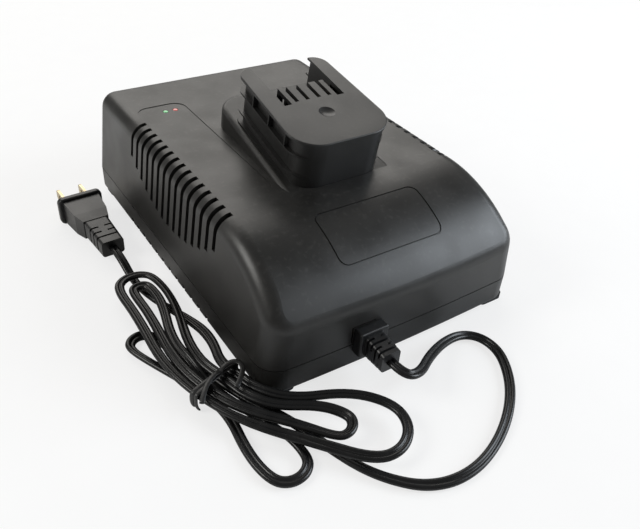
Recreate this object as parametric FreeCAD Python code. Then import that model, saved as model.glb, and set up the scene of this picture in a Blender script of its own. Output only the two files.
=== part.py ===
"""Charger for slide-on power tool batteries, with its dock, inner parts, mains cord, hank and plug.

Frame: X to the right, Y to the rear, Z up, in millimetres.  The origin is on the surface that
the feet stand on, under the middle of the housing.  The cord leaves the front, at -Y.
"""
import FreeCAD, Part
import math
import os
from FreeCAD import Vector as V

os.makedirs("parts", exist_ok=True)

# housing
body_width = 144.0
body_depth = 200.0
front_bow = 1.65
foot_height = 3.0
lower_height = 13.25
upper_height = 45.15
side_lean = 5.8
rear_lean = 1.3
wall = 2.5
edge_radius = 8.5
rear_radius = 5.0
front_corner_radius = 11.0
bottom_edge_radius = 1.6
slope_start = body_depth / 4
slope_radius = body_depth * 0.325
seam_height = 0.5
seam_depth = 0.7

# side slots of the upper housing
slot_count = 15
slot_width = 2.9
slot_pitch = 6.84
slot_rear_y = 49.4
slot_inner_x = 58.8
slot_low_z = 30.2
slot_arc_rise = 16.0
slot_arc_half = 50.0

# notches of the lower housing
notch_count = 12
notch_width = 2.6
notch_pitch = 8.46
notch_rear_y = 49.7
notch_height = 3.4
notch_depth = 7.0

# recess for the legend, and the plaque groove
label_x = -45.0
label_width = 27.0
label_rear_y = 67.3
label_length = 106.0
label_depth = 0.3
label_radius = 7.0
plaque_width = 57.4
plaque_rear_y = -62.3
plaque_length = 26.2
plaque_radius = 4.5
groove_width = 0.7
groove_depth = 0.5

# indicator lamps
lamp_radius = 1.5
lamp_fit = 0.08
lamp_pitch = 5.6
lamp_x = -41.0
lamp_y = 59.4
lamp_rim_radius = 2.0
lamp_rim_height = 1.0
lamp_length = 5.3

# feet
foot_width = 15.0
foot_length = 12.0
foot_inset_x = 1.5
foot_inset_y = 1.5
foot_corner = 3.0

# the drawing is laid out from the housing's straight front corners; the origin is under its middle
middle_shift = 0.825

# screws of the housing
boss_radius = 4.2
boss_x = 61.0
boss_y = 83.0
screw_radius = 1.5
screw_fit = 0.06
screw_grip = 9.0
screw_head_radius = 2.8
screw_head_height = 1.9
head_fit = 0.3

# dock: raised platform and tower, in a frame that leans forward
dock_lean = 10.2
dock_z = 67.7
platform_lean = 9.1
platform_z = 68.4
platform_rear = 37.0
platform_front = 62.0
platform_rear_half = 25.6
platform_front_half = 30.6
platform_radius = 13.0
platform_edge = 2.4
platform_drop = 20.0
tower_height = 26.3
tower_rear = 19.5
tower_front = 45.5
tower_rear_half = 23.8
tower_front_half = 26.6
tower_rear_radius = 7.0
tower_front_radius = 14.0
tower_wall = 2.0
top_plate = 2.2
lip_height = 1.2
lip_overhang = 0.5
band_depth = 2.4
band_fade = 0.4
ledge_height = 0.8
band_top_share = 0.30
band_mid_share = 0.72
band_foot = 1.2
rib_thickness = 0.8
rib_first_y = 1.0
rib_pitch = 15.8
rib_count = 3
tower_foot = 9.0
flange_thickness = 2.5
flange_front = 12.5
flange_rear = 14.0
opening_fit = 0.15
recess_half = 16.6
recess_front = -0.3
recess_drop = 13.0
recess_wall = 1.8
outer_slot_width = 4.0
inner_slot_width = 2.1
inner_slot_near = 3.1
inner_slot_far = 9.05
outer_slot_front = -14.0
inner_slot_front = -12.8
dimple_y = -24.4
dimple_radius = 4.0
dimple_depth = 1.0
base_plate_thickness = 2.0
dock_boss_radius = 3.2
dock_boss_x = 13.0
dock_boss_rear = 27.5
dock_boss_front = -52.5
dock_screw_radius = 1.2

# spring leaves of the dock, turning in the carrier block
leaf_thickness = 0.5
leaf_width = 5.0
leaf_y = -8.5
leaf_top = 24.3
leaf_pivot_radius = 0.6
leaf_fit = 0.05
leaf_crest_radius = 0.7
leaf_crest_z = 22.6
pivot_depth = 0.9
carrier_half = 18.0
carrier_front = -15.5
carrier_rear = -3.0
carrier_fit = 0.3

# circuit board and what it carries
board_z = 10.0
board_thickness = 1.6
board_half = 55.0
board_front = -74.0
board_rear = 86.0
board_post_radius = 3.4
board_post_x = 49.0
board_post_front = -67.0
board_post_rear = 79.0
board_screw_radius = 1.2
board_screw_length = 5.2

# cord grip
grip_x = -21.5
grip_flange_width = 15.0
grip_flange_low = 11.4
grip_flange_high = 25.0
grip_flange_depth = 5.0
grip_neck_width = 11.0
grip_neck_low = 11.9
grip_neck_high = 22.3
grip_fit = 0.25
grip_gap = 0.1
grip_plate_depth = 2.6
panel_width = 20.5
panel_top = 26.2
boot_length = 12.0
boot_root_width = 10.6
boot_end_width = 9.8
boot_root_low = 11.7
boot_root_high = 23.0
boot_end_low = 12.0
boot_end_high = 21.8
boot_groove = 1.1
boot_groove_depth = 1.3
boot_groove_pitch = 2.6
boot_groove_count = 4
boot_spine = 3.4
exit_z = 17.0

# mains cord; the points of its free stretches are chosen from where it lies
cord_diameter = 4.0
cord_gap = 0.55
floor_gap = 0.05
strand_pitch = 4.7
waist_x = -87.2
waist_y = -84.0
waist_heading = 108.0

# plug
plug_length = 47.0
plug_heading = 93.0
plug_pitch = 1.0
plug_roll = 0.0
plug_face_width = 24.6
plug_face_height = 16.0
plug_face_depth = 3.6
plug_body_width = 20.4
plug_body_height = 13.0
plug_waist_width = 13.4
plug_waist_height = 10.4
plug_waist_share = 0.47
plug_neck_width = 12.0
plug_neck_height = 9.2
plug_groove = 1.2
plug_groove_depth = 1.2
plug_groove_pitch = 4.4
plug_groove_count = 3
blade_spacing = 12.7
blade_width = 6.35
blade_thickness = 1.5
blade_length = 16.5
blade_root = 12.0

# twist tie
tie_diameter = 1.7
tie_gap = 0.5

parting_z = foot_height + lower_height
top_z = parting_z + upper_height
floor_z = foot_height + wall
half_width = body_width / 2
half_depth = body_depth / 2


def save(name, shape):
    """Write one sub-part over the origin, and print what can be looked over at a glance."""
    shape = shape.copy()
    shape.translate(V(0, middle_shift, 0))
    box = shape.optimalBoundingBox(False)
    print("%-22s solids %2d valid %s volume %10.1f  x %.1f..%.1f y %.1f..%.1f z %.1f..%.1f" % (
        name, len(shape.Solids), shape.isValid(), shape.Volume,
        box.XMin, box.XMax, box.YMin, box.YMax, box.ZMin, box.ZMax))
    shape.exportStep("parts/%s.step" % name)


def box(x0, x1, y0, y1, z0, z1):
    """A block between two corners."""
    return Part.makeBox(x1 - x0, y1 - y0, z1 - z0, V(x0, y0, z0))


def post(x, y, z0, z1, radius):
    """An upright cylinder."""
    return Part.makeCylinder(radius, z1 - z0, V(x, y, z0))


def prism(points, z0, z1):
    """An upright prism over a polygon."""
    wire = Part.makePolygon([V(x, y, z0) for x, y in points] + [V(points[0][0], points[0][1], z0)])
    return Part.Face(wire).extrude(V(0, 0, z1 - z0))


def upright_edges(shape, test):
    """The edges that stand upright and whose middle passes the test."""
    found = []
    for edge in shape.Edges:
        a = edge.Vertexes[0].Point
        b = edge.Vertexes[-1].Point
        if abs(a.x - b.x) < 1e-4 and abs(a.y - b.y) < 1e-4 and abs(a.z - b.z) > 1e-3:
            if test(a):
                found.append(edge)
    return found


def rounded_plan(points, radii, z0, z1):
    """A prism over a polygon whose corners are rounded by the radii, in order."""
    solid = prism(points, z0, z1)
    for (x, y), radius in zip(points, radii):
        if radius > 0:
            edges = upright_edges(solid, lambda p: abs(p.x - x) < 1e-3 and abs(p.y - y) < 1e-3)
            solid = solid.makeFillet(radius, edges)
    return solid


def fuse_all(shapes):
    """One shape out of several."""
    result = shapes[0]
    for other in shapes[1:]:
        result = result.fuse(other)
    return result


def group(shapes):
    """Several like solids that share a node."""
    return Part.makeCompound(shapes)


def lean(shape, angle=dock_lean, height=dock_z):
    """Carry a shape from the dock's own frame, or from the platform's, into the object's."""
    result = shape.copy()
    result.rotate(V(0, 0, 0), V(1, 0, 0), angle)
    result.translate(V(0, 0, height))
    return result


def plan_face(inset, z):
    """Outline of the housing: straight sides and rear, and a front that bows outward."""
    x = half_width - inset
    y = half_depth - inset
    edges = [
        Part.LineSegment(V(-x, -y, z), V(-x, y, z)),
        Part.LineSegment(V(-x, y, z), V(x, y, z)),
        Part.LineSegment(V(x, y, z), V(x, -y, z)),
        Part.Arc(V(x, -y, z), V(0, -y - front_bow, z), V(-x, -y, z)),
    ]
    return Part.Face(Part.Wire([edge.toShape() for edge in edges]))


def front_corners(shape, inset):
    """Edges of a housing form that run down its two front corners."""
    x = half_width - inset - side_lean - 1.0
    y = -(half_depth - inset) + 1.5
    found = []
    for edge in shape.Edges:
        a = edge.Vertexes[0].Point
        b = edge.Vertexes[-1].Point
        if min(abs(a.x), abs(b.x)) > x and max(a.y, b.y) < y and abs(a.z - b.z) > 5.0:
            found.append(edge)
    return found


def upper_form(inset, bottom):
    """Outside of the upper housing, or its inside when inset by the wall."""
    x = half_width - inset
    y = half_depth - inset
    top = top_z - inset
    height = top - parting_z
    solid = plan_face(inset, bottom).extrude(V(0, 0, top + 5.0 - bottom))
    slope = side_lean / upper_height
    low_x = x + slope * (parting_z - bottom)
    high_x = x - slope * height
    section = Part.makePolygon([
        V(-low_x, 0, bottom), V(low_x, 0, bottom), V(high_x, 0, top), V(-high_x, 0, top),
        V(-low_x, 0, bottom)])
    sides = Part.Face(section).extrude(V(0, 4 * y, 0))
    sides.translate(V(0, -2 * y, 0))
    bend = slope_radius - inset
    centre_z = top_z - slope_radius
    swing = math.radians(60.0)
    end_y = -slope_start - bend * math.sin(swing)
    end_z = centre_z + bend * math.cos(swing)
    mid_y = -slope_start - bend * math.sin(swing / 2)
    mid_z = centre_z + bend * math.cos(swing / 2)
    outline = [
        Part.LineSegment(V(0, y + rear_lean * (parting_z - bottom) / upper_height, bottom),
                         V(0, y - rear_lean * height / upper_height, top)),
        Part.LineSegment(V(0, y - rear_lean * height / upper_height, top), V(0, -slope_start, top)),
        Part.Arc(V(0, -slope_start, top), V(0, mid_y, mid_z), V(0, end_y, end_z)),
        Part.LineSegment(V(0, end_y, end_z), V(0, end_y, bottom)),
        Part.LineSegment(V(0, end_y, bottom),
                         V(0, y + rear_lean * (parting_z - bottom) / upper_height, bottom)),
    ]
    lengthwise = Part.Face(Part.Wire([edge.toShape() for edge in outline])).extrude(V(4 * x, 0, 0))
    lengthwise.translate(V(-2 * x, 0, 0))
    solid = solid.common(sides).common(lengthwise)
    solid = solid.makeFillet(front_corner_radius - inset, front_corners(solid, inset))
    side_top = [edge for edge in solid.Edges
                if abs(abs(edge.CenterOfMass.x) - high_x) < 0.2 and abs(edge.CenterOfMass.z - top) < 0.2
                and edge.Length > half_depth]
    solid = solid.makeFillet(edge_radius - inset, side_top)
    if inset == 0:
        rear = [edge for edge in solid.Edges
                if edge.CenterOfMass.y > y - rear_lean - 1.0 and edge.CenterOfMass.z > top - 1.0
                and edge.Length > half_width]
        solid = solid.makeFillet(rear_radius, rear)
    return solid


def lower_form(inset, bottom, top):
    """Outside of the lower housing, or its inside when inset by the wall."""
    solid = plan_face(inset, bottom).extrude(V(0, 0, top - bottom))
    solid = solid.makeFillet(front_corner_radius - inset, front_corners(solid, inset))
    rear = upright_edges(solid, lambda p: p.y > 0)
    solid = solid.makeFillet(rear_radius - inset, rear)
    return solid


def platform_form(inset):
    """Raised platform round the tower, in the dock's frame; it runs out at the front."""
    rear = platform_rear_half - inset
    front = platform_front_half - inset
    points = [(-front, -platform_front + inset), (front, -platform_front + inset),
              (rear, platform_rear - inset), (-rear, platform_rear - inset)]
    radii = [0, 0, platform_radius - inset, platform_radius - inset]
    solid = rounded_plan(points, radii, -platform_drop, -inset)
    if inset == 0:
        rim = [edge for edge in solid.Edges
               if abs(edge.BoundBox.ZMin) < 1e-4 and abs(edge.BoundBox.ZMax) < 1e-4
               and edge.CenterOfMass.y > -platform_front + 1.0]
        solid = solid.makeFillet(platform_edge, rim)
    return lean(solid, platform_lean, platform_z)


def tower_plan(grow, z0, z1):
    """D-shaped outline of the tower, widened by grow, in the dock's frame."""
    rear = tower_rear_half + grow
    front = tower_front_half + grow
    points = [(-front, -tower_front - grow), (front, -tower_front - grow),
              (rear, tower_rear + grow), (-rear, tower_rear + grow)]
    radii = [tower_front_radius + grow, tower_front_radius + grow,
             tower_rear_radius + grow, tower_rear_radius + grow]
    return rounded_plan(points, radii, z0, z1)


def rounded_ring(width, length, radius, line, z0, z1):
    """An upright ring that follows a rounded rectangle with its rear left corner at the origin."""
    outer = rounded_plan([(0, -length), (width, -length), (width, 0), (0, 0)], [radius] * 4, z0, z1)
    inner = rounded_plan([(line, line - length), (width - line, line - length),
                          (width - line, -line), (line, -line)], [radius - line] * 4, z0, z1)
    return outer.cut(inner)


dock_screws_at = [(x, y) for y in (dock_boss_rear, dock_boss_front) for x in (-dock_boss_x, dock_boss_x)]
housing_screws_at = [(x, y) for y in (boss_y, -boss_y) for x in (-boss_x, boss_x)]
board_posts_at = [(x, y) for y in (board_post_rear, board_post_front) for x in (-board_post_x, board_post_x)]
front_face_y = -(half_depth + front_bow)
grip_back = front_face_y - grip_gap
grip_inner = front_face_y + wall + 1.0 + grip_gap


def grip_opening(fit):
    """The passage of the cord grip through the front wall."""
    return box(grip_x - grip_neck_width / 2 - fit, grip_x + grip_neck_width / 2 + fit,
               front_face_y - 2.0, front_face_y + wall + 4.0, grip_neck_low - fit, grip_neck_high + fit)


def make_upper_housing():
    """Upper housing with its platform, slots, recess, plaque groove and bosses."""
    outer_body = upper_form(0, parting_z)
    outer = outer_body.fuse(platform_form(0))
    inner = upper_form(wall, parting_z - 1.0).fuse(platform_form(wall))
    trim = box(-body_width, body_width, -body_depth, body_depth, parting_z - 60.0, parting_z)
    shell = outer.cut(inner).cut(trim)
    bosses = []
    for x, y in housing_screws_at:
        bosses.append(post(x, y, parting_z, top_z, boss_radius))
    bosses = fuse_all(bosses).common(upper_form(0.8, parting_z))
    shell = shell.fuse(bosses)
    reach = -tower_foot + flange_thickness
    dock_bosses = fuse_all([post(x, y, reach, 4.0, dock_boss_radius) for x, y in dock_screws_at])
    allowed = upper_form(0.8, parting_z).fuse(platform_form(0.8))
    shell = shell.fuse(lean(dock_bosses).common(allowed))
    for x, y in housing_screws_at:
        shell = shell.cut(post(x, y, parting_z - 1, parting_z + screw_grip + 1.5, screw_radius + screw_fit))
    for x, y in dock_screws_at:
        shell = shell.cut(lean(post(x, y, reach - 1, reach + 4.5, dock_screw_radius + screw_fit)))
    shell = shell.cut(lean(tower_plan(opening_fit, -wall - 30.0, 12.0)))
    cutters = []
    for i in range(slot_count):
        y = slot_rear_y - i * slot_pitch
        low = slot_low_z + slot_arc_rise * ((y - 1.5) / slot_arc_half) ** 2
        for side in (-1, 1):
            x0 = min(side * slot_inner_x, side * body_width)
            x1 = max(side * slot_inner_x, side * body_width)
            cutters.append(box(x0, x1, y - slot_width / 2, y + slot_width / 2, low, top_z + 5))
    shell = shell.cut(group(cutters))
    recess = rounded_plan(
        [(label_x - label_width / 2, label_rear_y - label_length),
         (label_x + label_width / 2, label_rear_y - label_length),
         (label_x + label_width / 2, label_rear_y), (label_x - label_width / 2, label_rear_y)],
        [label_radius] * 4, top_z - label_depth, top_z + 2.0)
    shell = shell.cut(recess)
    ring = rounded_ring(plaque_width, plaque_length, plaque_radius, groove_width, parting_z + 10, top_z + 2)
    ring.translate(V(-plaque_width / 2, plaque_rear_y, 0))
    lowered = outer_body.copy()
    lowered.translate(V(0, 0, -groove_depth))
    shell = shell.cut(ring.common(outer_body.cut(lowered)))
    for side in (-1, 1):
        shell = shell.cut(post(lamp_x + side * lamp_pitch / 2, lamp_y, top_z - 6.0, top_z + 1.0,
                               lamp_radius + lamp_fit))
    shell = shell.cut(grip_opening(grip_fit))
    panel = rounded_ring(panel_width, 2 * (panel_top - parting_z), 0.8, groove_width, -4.0, 0.4)
    panel.rotate(V(0, 0, 0), V(1, 0, 0), 90.0)
    panel.translate(V(grip_x - grip_flange_width / 2 - 1.2, front_face_y + groove_depth, panel_top))
    shell = shell.cut(panel.common(box(-half_width, half_width, -body_depth, 0, parting_z + 1.0, top_z)))
    return shell


def make_lower_housing():
    """Lower housing: tray with bosses, posts for the board, notches and a seam rebate."""
    outer = lower_form(0, foot_height, parting_z)
    rim = [edge for edge in outer.Edges
           if abs(edge.BoundBox.ZMax - foot_height) < 1e-4 and abs(edge.BoundBox.ZMin - foot_height) < 1e-4]
    outer = outer.makeFillet(bottom_edge_radius, rim)
    shell = outer.cut(lower_form(wall, floor_z, parting_z + 1.0))
    seam = lower_form(-1.0, foot_height, parting_z + 1.0).cut(lower_form(seam_depth, 0, parting_z + 2.0))
    band = box(-body_width, body_width, -body_depth, body_depth, parting_z - seam_height, parting_z + 1.0)
    shell = shell.cut(seam.common(band))
    for x, y in housing_screws_at:
        shell = shell.fuse(post(x, y, foot_height + 0.5, parting_z, boss_radius))
    for x, y in board_posts_at:
        shell = shell.fuse(post(x, y, floor_z - 0.5, board_z, board_post_radius))
    for x, y in housing_screws_at:
        shell = shell.cut(post(x, y, foot_height - 1, parting_z + 1, screw_radius + head_fit))
        shell = shell.cut(post(x, y, foot_height - 1, foot_height + screw_head_height + 0.6,
                               screw_head_radius + head_fit))
    for x, y in board_posts_at:
        shell = shell.cut(post(x, y, board_z + board_thickness - board_screw_length - 0.5, board_z + 1,
                               board_screw_radius + screw_fit))
    for i in range(notch_count):
        y = notch_rear_y - i * notch_pitch
        for side in (-1, 1):
            x0 = min(side * (half_width - notch_depth), side * body_width)
            x1 = max(side * (half_width - notch_depth), side * body_width)
            shell = shell.cut(box(x0, x1, y - notch_width / 2, y + notch_width / 2,
                                  foot_height - 1, foot_height + notch_height))
    return shell.cut(grip_opening(grip_fit))


def make_feet():
    """Four pads under the corners."""
    pads = []
    for sx in (-1, 1):
        for sy in (-1, 1):
            x0 = sx * (half_width - foot_inset_x)
            x1 = sx * (half_width - foot_inset_x - foot_width)
            y0 = sy * (half_depth - foot_inset_y)
            y1 = sy * (half_depth - foot_inset_y - foot_length)
            xs = (min(x0, x1), max(x0, x1))
            ys = (min(y0, y1), max(y0, y1))
            pad = rounded_plan([(xs[0], ys[0]), (xs[1], ys[0]), (xs[1], ys[1]), (xs[0], ys[1])],
                               [foot_corner] * 4, 0, foot_height)
            pads.append(pad)
    for x, y in housing_screws_at:
        pads = [pad.cut(post(x, y, -1, foot_height + 1, screw_head_radius + head_fit)) for pad in pads]
    return group(pads)


def screw(x, y, head_z, length, radius, head_radius, head_height):
    """A screw that points up, its head's lower face at head_z, with a cross recess."""
    body = post(x, y, head_z, head_z + head_height, head_radius)
    body = body.fuse(post(x, y, head_z + head_height - 0.1, head_z + head_height + length, radius))
    arm = head_radius * 0.6
    slot = box(x - arm, x + arm, y - 0.4, y + 0.4, head_z - 0.1, head_z + 0.9)
    slot = slot.fuse(box(x - 0.4, x + 0.4, y - arm, y + arm, head_z - 0.1, head_z + 0.9))
    return body.cut(slot)


def screw_down(x, y, under_head_z, length, radius, head_radius, head_height):
    """A screw that points down, the face under its head at under_head_z."""
    body = screw(0, 0, 0, length, radius, head_radius, head_height)
    body.rotate(V(0, 0, 0), V(1, 0, 0), 180.0)
    body.translate(V(x, y, under_head_z + head_height))
    return body


def make_housing_screws():
    """Four long screws from below."""
    head_z = foot_height + 0.6
    length = parting_z + screw_grip - head_z - screw_head_height
    return group([screw(x, y, head_z, length, screw_radius, screw_head_radius, screw_head_height)
                  for x, y in housing_screws_at])


flange_low = -tower_foot
flange_fit = 0.3


def platform_half(y):
    """Half width of the platform at a place along it."""
    share = (platform_rear - y) / (platform_rear + platform_front)
    return platform_rear_half + (platform_front_half - platform_rear_half) * share


def flange_plan(z0, z1):
    """Outline of the dock's flange and of its base plate, inside the walls of the platform."""
    front = -tower_front - flange_front
    rear = tower_rear + flange_rear
    front_half = platform_half(front) - wall - flange_fit
    rear_half = platform_half(rear) - wall - flange_fit
    return rounded_plan([(-front_half, front), (front_half, front), (rear_half, rear), (-rear_half, rear)],
                        [4.0, 4.0, platform_radius - wall, platform_radius - wall], z0, z1)


def slot_ranges():
    """Left edge, right edge and front end of each slot in the top plate."""
    ranges = []
    for side in (-1, 1):
        edge = recess_half - outer_slot_width
        ranges.append((min(side * edge, side * recess_half), max(side * edge, side * recess_half), outer_slot_front))
        for centre in (inner_slot_far, inner_slot_near):
            ranges.append((side * centre - inner_slot_width / 2, side * centre + inner_slot_width / 2,
                           inner_slot_front))
    return ranges


def make_dock():
    """Tower with its lip, side rails, rear recess, slots and flange."""
    tower = tower_plan(0, -tower_foot, tower_height - lip_height / 2)
    lip = tower_plan(lip_overhang, tower_height - lip_height, tower_height)
    rim = [edge for edge in lip.Edges
           if abs(edge.BoundBox.ZMin - tower_height) < 1e-4 and abs(edge.BoundBox.ZMax - tower_height) < 1e-4]
    lip = lip.makeFillet(0.5, rim)
    tower = tower.fuse(lip)
    core = tower_plan(-band_depth, -2, tower_height)
    fading = core.copy()
    fading.translate(V(0, -band_depth - band_fade, 0))
    core = core.fuse(fading)
    span = tower_height - lip_height
    high = span * (1 - band_top_share)
    middle = span * (1 - band_mid_share)
    bands = [(high + ledge_height / 2, span), (middle + ledge_height / 2, high - ledge_height / 2),
             (band_foot, middle - ledge_height / 2)]
    for low, top in bands:
        cutter = box(-body_width, body_width, -tower_front - 5, tower_rear + 5, low, top).cut(core)
        if top == span:
            for i in range(rib_count):
                y = rib_first_y - i * rib_pitch
                cutter = cutter.cut(box(-body_width, body_width, y - rib_thickness / 2, y + rib_thickness / 2,
                                        low - 1, top + 1))
        tower = tower.cut(cutter)
    side = band_depth + tower_wall
    hollow = prism([(-tower_front_half + side + 3.5, -tower_front + tower_wall + 1.0),
                    (tower_front_half - side - 3.5, -tower_front + tower_wall + 1.0),
                    (tower_front_half - side - 0.6, -tower_front + 13.0),
                    (tower_rear_half - side, tower_rear - tower_wall),
                    (-tower_rear_half + side, tower_rear - tower_wall),
                    (-tower_front_half + side + 0.6, -tower_front + 13.0)],
                   -tower_foot - 1, tower_height - top_plate)
    keep = box(-recess_half - recess_wall, recess_half + recess_wall, recess_front - recess_wall, tower_rear + 9,
               tower_height - recess_drop - recess_wall, tower_height + 5)
    tower = tower.cut(hollow.cut(keep))
    tower = tower.cut(box(-recess_half, recess_half, recess_front, tower_rear + 9,
                          tower_height - recess_drop, tower_height + 5))
    for x0, x1, front in slot_ranges():
        tower = tower.cut(box(x0, x1, front, recess_front + 1, tower_height - recess_drop, tower_height + 5))
    dish = (dimple_radius ** 2 + dimple_depth ** 2) / (2 * dimple_depth)
    dimple = Part.makeSphere(dish, V(0, dimple_y, tower_height - dimple_depth + dish))
    tower = tower.cut(dimple)
    flange = flange_plan(flange_low, flange_low + flange_thickness)
    tower = tower.fuse(flange.cut(tower_plan(-tower_wall, flange_low - 1, flange_low + 4)))
    for x, y in dock_screws_at:
        tower = tower.cut(post(x, y, flange_low - 1, flange_low + flange_thickness + 1,
                               dock_screw_radius + head_fit))
    return lean(tower)


leaf_slots = (-inner_slot_near, inner_slot_near, inner_slot_far)
carrier_top = tower_height - recess_drop - recess_wall - carrier_fit
pivot_z = carrier_top - pivot_depth
wire_radius = 1.0
wire_fit = 0.1
wire_y = -9.0


def wire_line(x):
    """Where a dock wire meets the carrier, in the object's frame: its x, y and the height it rises to."""
    foot = lean(Part.Vertex(V(x, wire_y, flange_low))).Point
    return foot.x, foot.y, foot.z + 3.0


def make_carrier():
    """Insulating block that holds the spring leaves, on the base plate."""
    block = box(-carrier_half, carrier_half, carrier_front, carrier_rear, flange_low, carrier_top)
    for x in leaf_slots:
        y0 = leaf_y - leaf_width / 2 - 0.3
        y1 = leaf_y + leaf_width / 2 + 0.3
        bore = Part.makeCylinder(leaf_pivot_radius + leaf_fit, y1 - y0, V(x, y0, pivot_z), V(0, 1, 0))
        mouth = box(x - leaf_thickness / 2 - 0.15, x + leaf_thickness / 2 + 0.2, y0, y1, pivot_z, carrier_top + 1)
        block = block.cut(bore).cut(mouth)
    block = lean(block)
    for x in leaf_slots:
        wx, wy, wz = wire_line(x)
        block = block.cut(post(wx, wy, wz - 12, wz + 0.2, wire_radius + wire_fit))
    return block


def make_leaf(x):
    """One spring leaf: round root, thin strip and the crest that meets the battery's blade."""
    y0 = leaf_y - leaf_width / 2
    root = Part.makeCylinder(leaf_pivot_radius, leaf_width, V(x, y0, pivot_z), V(0, 1, 0))
    strip = box(x - leaf_thickness / 2, x + leaf_thickness / 2, y0, y0 + leaf_width, pivot_z, leaf_top)
    crest = Part.makeCylinder(leaf_crest_radius, leaf_width, V(x, y0, leaf_crest_z), V(0, 1, 0))
    crest = crest.common(box(x - 2, x, y0 - 1, y0 + leaf_width + 1, leaf_crest_z - 2, leaf_crest_z + 2))
    return lean(root.fuse(strip).fuse(crest))


def make_base_plate():
    """Plate that closes the tower from below and carries the block."""
    plate = flange_plan(flange_low - base_plate_thickness, flange_low)
    for x, y in dock_screws_at:
        plate = plate.cut(post(x, y, flange_low - 9, flange_low + 1, dock_screw_radius + head_fit))
    plate = lean(plate)
    for x in leaf_slots:
        wx, wy, wz = wire_line(x)
        plate = plate.cut(post(wx, wy, wz - 12, wz + 1, wire_radius + 0.5))
    return plate


def make_dock_screws():
    """Four screws through plate and flange into the bosses of the upper housing."""
    head_z = flange_low - base_plate_thickness - 1.6
    length = base_plate_thickness + flange_thickness + 4.0
    return lean(group([screw(x, y, head_z, length, dock_screw_radius, 2.3, 1.6) for x, y in dock_screws_at]))


board_top = board_z + board_thickness


def make_board():
    """Circuit board with its fixing holes."""
    plate = box(-board_half, board_half, board_front, board_rear, board_z, board_top)
    for x, y in board_posts_at:
        plate = plate.cut(post(x, y, board_z - 1, board_top + 1, board_screw_radius + head_fit))
    return plate


# places of the larger parts on the board: centre x, centre y
transformer_at = (22.0, 18.0)
core_width = 42.0
core_length = 30.0
core_height = 33.0
core_leg = 7.0
winding_height = 18.0
bobbin_wall = 1.2
bulk_at = (-34.0, -22.0)
bulk_radius = 11.0
bulk_height = 29.0
output_at = ((36.0, 52.0), (20.0, 52.0))
output_radius = 6.5
output_height = 21.0
primary_sink_at = (-10.0, -36.0)
secondary_sink_at = (-8.0, 56.0)
sink_length = 34.0
sink_height = 26.0
sink_thickness = 2.4
sink_fin = 7.0
sink_fin_thickness = 1.2
sink_fin_pitch = 5.2
sink_fin_count = 6
choke_at = (22.0, -40.0)
winding_fit = 0.3
choke_outer = 10.5
choke_inner = 5.5
choke_height = 9.0
film_at = (42.0, -54.0)
fuse_at = (4.0, -62.0)
relay_at = (38.0, -14.0)
chip_at = (-34.0, 22.0)
chip_pin_count = 14
inlet_at = (grip_x, -64.0)
dock_socket_y = -9.0


def make_transformer():
    """Two-legged core with its bobbin and its winding."""
    x, y = transformer_at
    low = board_top + 2.0
    core = box(x - core_width / 2, x + core_width / 2, y - core_length / 2, y + core_length / 2,
               low, low + core_height - 2.0)
    window_low = low + core_leg
    window_high = low + core_height - 2.0 - core_leg
    for side in (-1, 1):
        x0 = x + side * core_leg
        x1 = x + side * (core_width / 2 - core_leg)
        core = core.cut(box(min(x0, x1), max(x0, x1), y - core_length, y + core_length, window_low, window_high))
    reach = core_width / 2 - core_leg - 0.3
    depth = core_length / 2 + 4.0
    tube = box(x - core_leg - bobbin_wall - 0.2, x + core_leg + bobbin_wall + 0.2,
               y - core_length / 2 - bobbin_wall - 0.2, y + core_length / 2 + bobbin_wall + 0.2,
               window_low + 0.3, window_high - 0.3)
    bore = box(x - core_leg - 0.2, x + core_leg + 0.2, y - core_length / 2 - 0.2, y + core_length / 2 + 0.2,
               window_low - 1, window_high + 1)
    plates = []
    for z0 in (window_low + 0.3, window_high - 0.3 - bobbin_wall):
        plates.append(box(x - reach, x + reach, y - depth, y + depth, z0, z0 + bobbin_wall))
    pins = []
    for side in (-1, 1):
        rail = box(x - reach, x + reach, y + side * (depth - 1.0) - 1.0, y + side * (depth - 1.0) + 1.0,
                   board_top, window_low + 0.4)
        pins.append(rail)
    bobbin = fuse_all([tube] + plates + pins).cut(bore)
    outside = box(x - reach + 0.8, x + reach - 0.8, y - depth + 0.8, y + depth - 0.8,
                  window_low + 0.3 + bobbin_wall, window_high - 0.3 - bobbin_wall)
    outside = outside.makeFillet(4.0, upright_edges(outside, lambda p: True))
    winding = outside.cut(tube).cut(bore)
    return core, bobbin, winding


def can(x, y, radius, height):
    """A can capacitor with its crimped neck and vent cross."""
    body = post(x, y, board_top, board_top + height, radius)
    top_edge = [edge for edge in body.Edges if edge.BoundBox.ZMin > board_top + height - 0.1]
    body = body.makeFillet(0.8, top_edge)
    neck = Part.makeTorus(radius + 0.5, 1.1, V(x, y, board_top + 4.0))
    body = body.cut(neck)
    for angle in (0.0, 90.0):
        groove = box(-radius * 0.6, radius * 0.6, -0.2, 0.2, board_top + height - 0.3, board_top + height + 1)
        groove.rotate(V(0, 0, 0), V(0, 0, 1), angle)
        groove.translate(V(x, y, 0))
        body = body.cut(groove)
    return body


def heatsink(x, y, side):
    """A finned plate that stands on the board, its fins toward side."""
    plate = box(x - sink_length / 2, x + sink_length / 2, y, y + sink_thickness, board_top, board_top + sink_height)
    shapes = [plate]
    for i in range(sink_fin_count):
        fx = x + (i - (sink_fin_count - 1) / 2) * sink_fin_pitch
        y0 = y + sink_thickness - 0.2 if side > 0 else y - sink_fin
        y1 = y + sink_thickness + sink_fin if side > 0 else y + 0.2
        shapes.append(box(fx - sink_fin_thickness / 2, fx + sink_fin_thickness / 2, y0, y1,
                          board_top, board_top + sink_height))
    return fuse_all(shapes)


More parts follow.
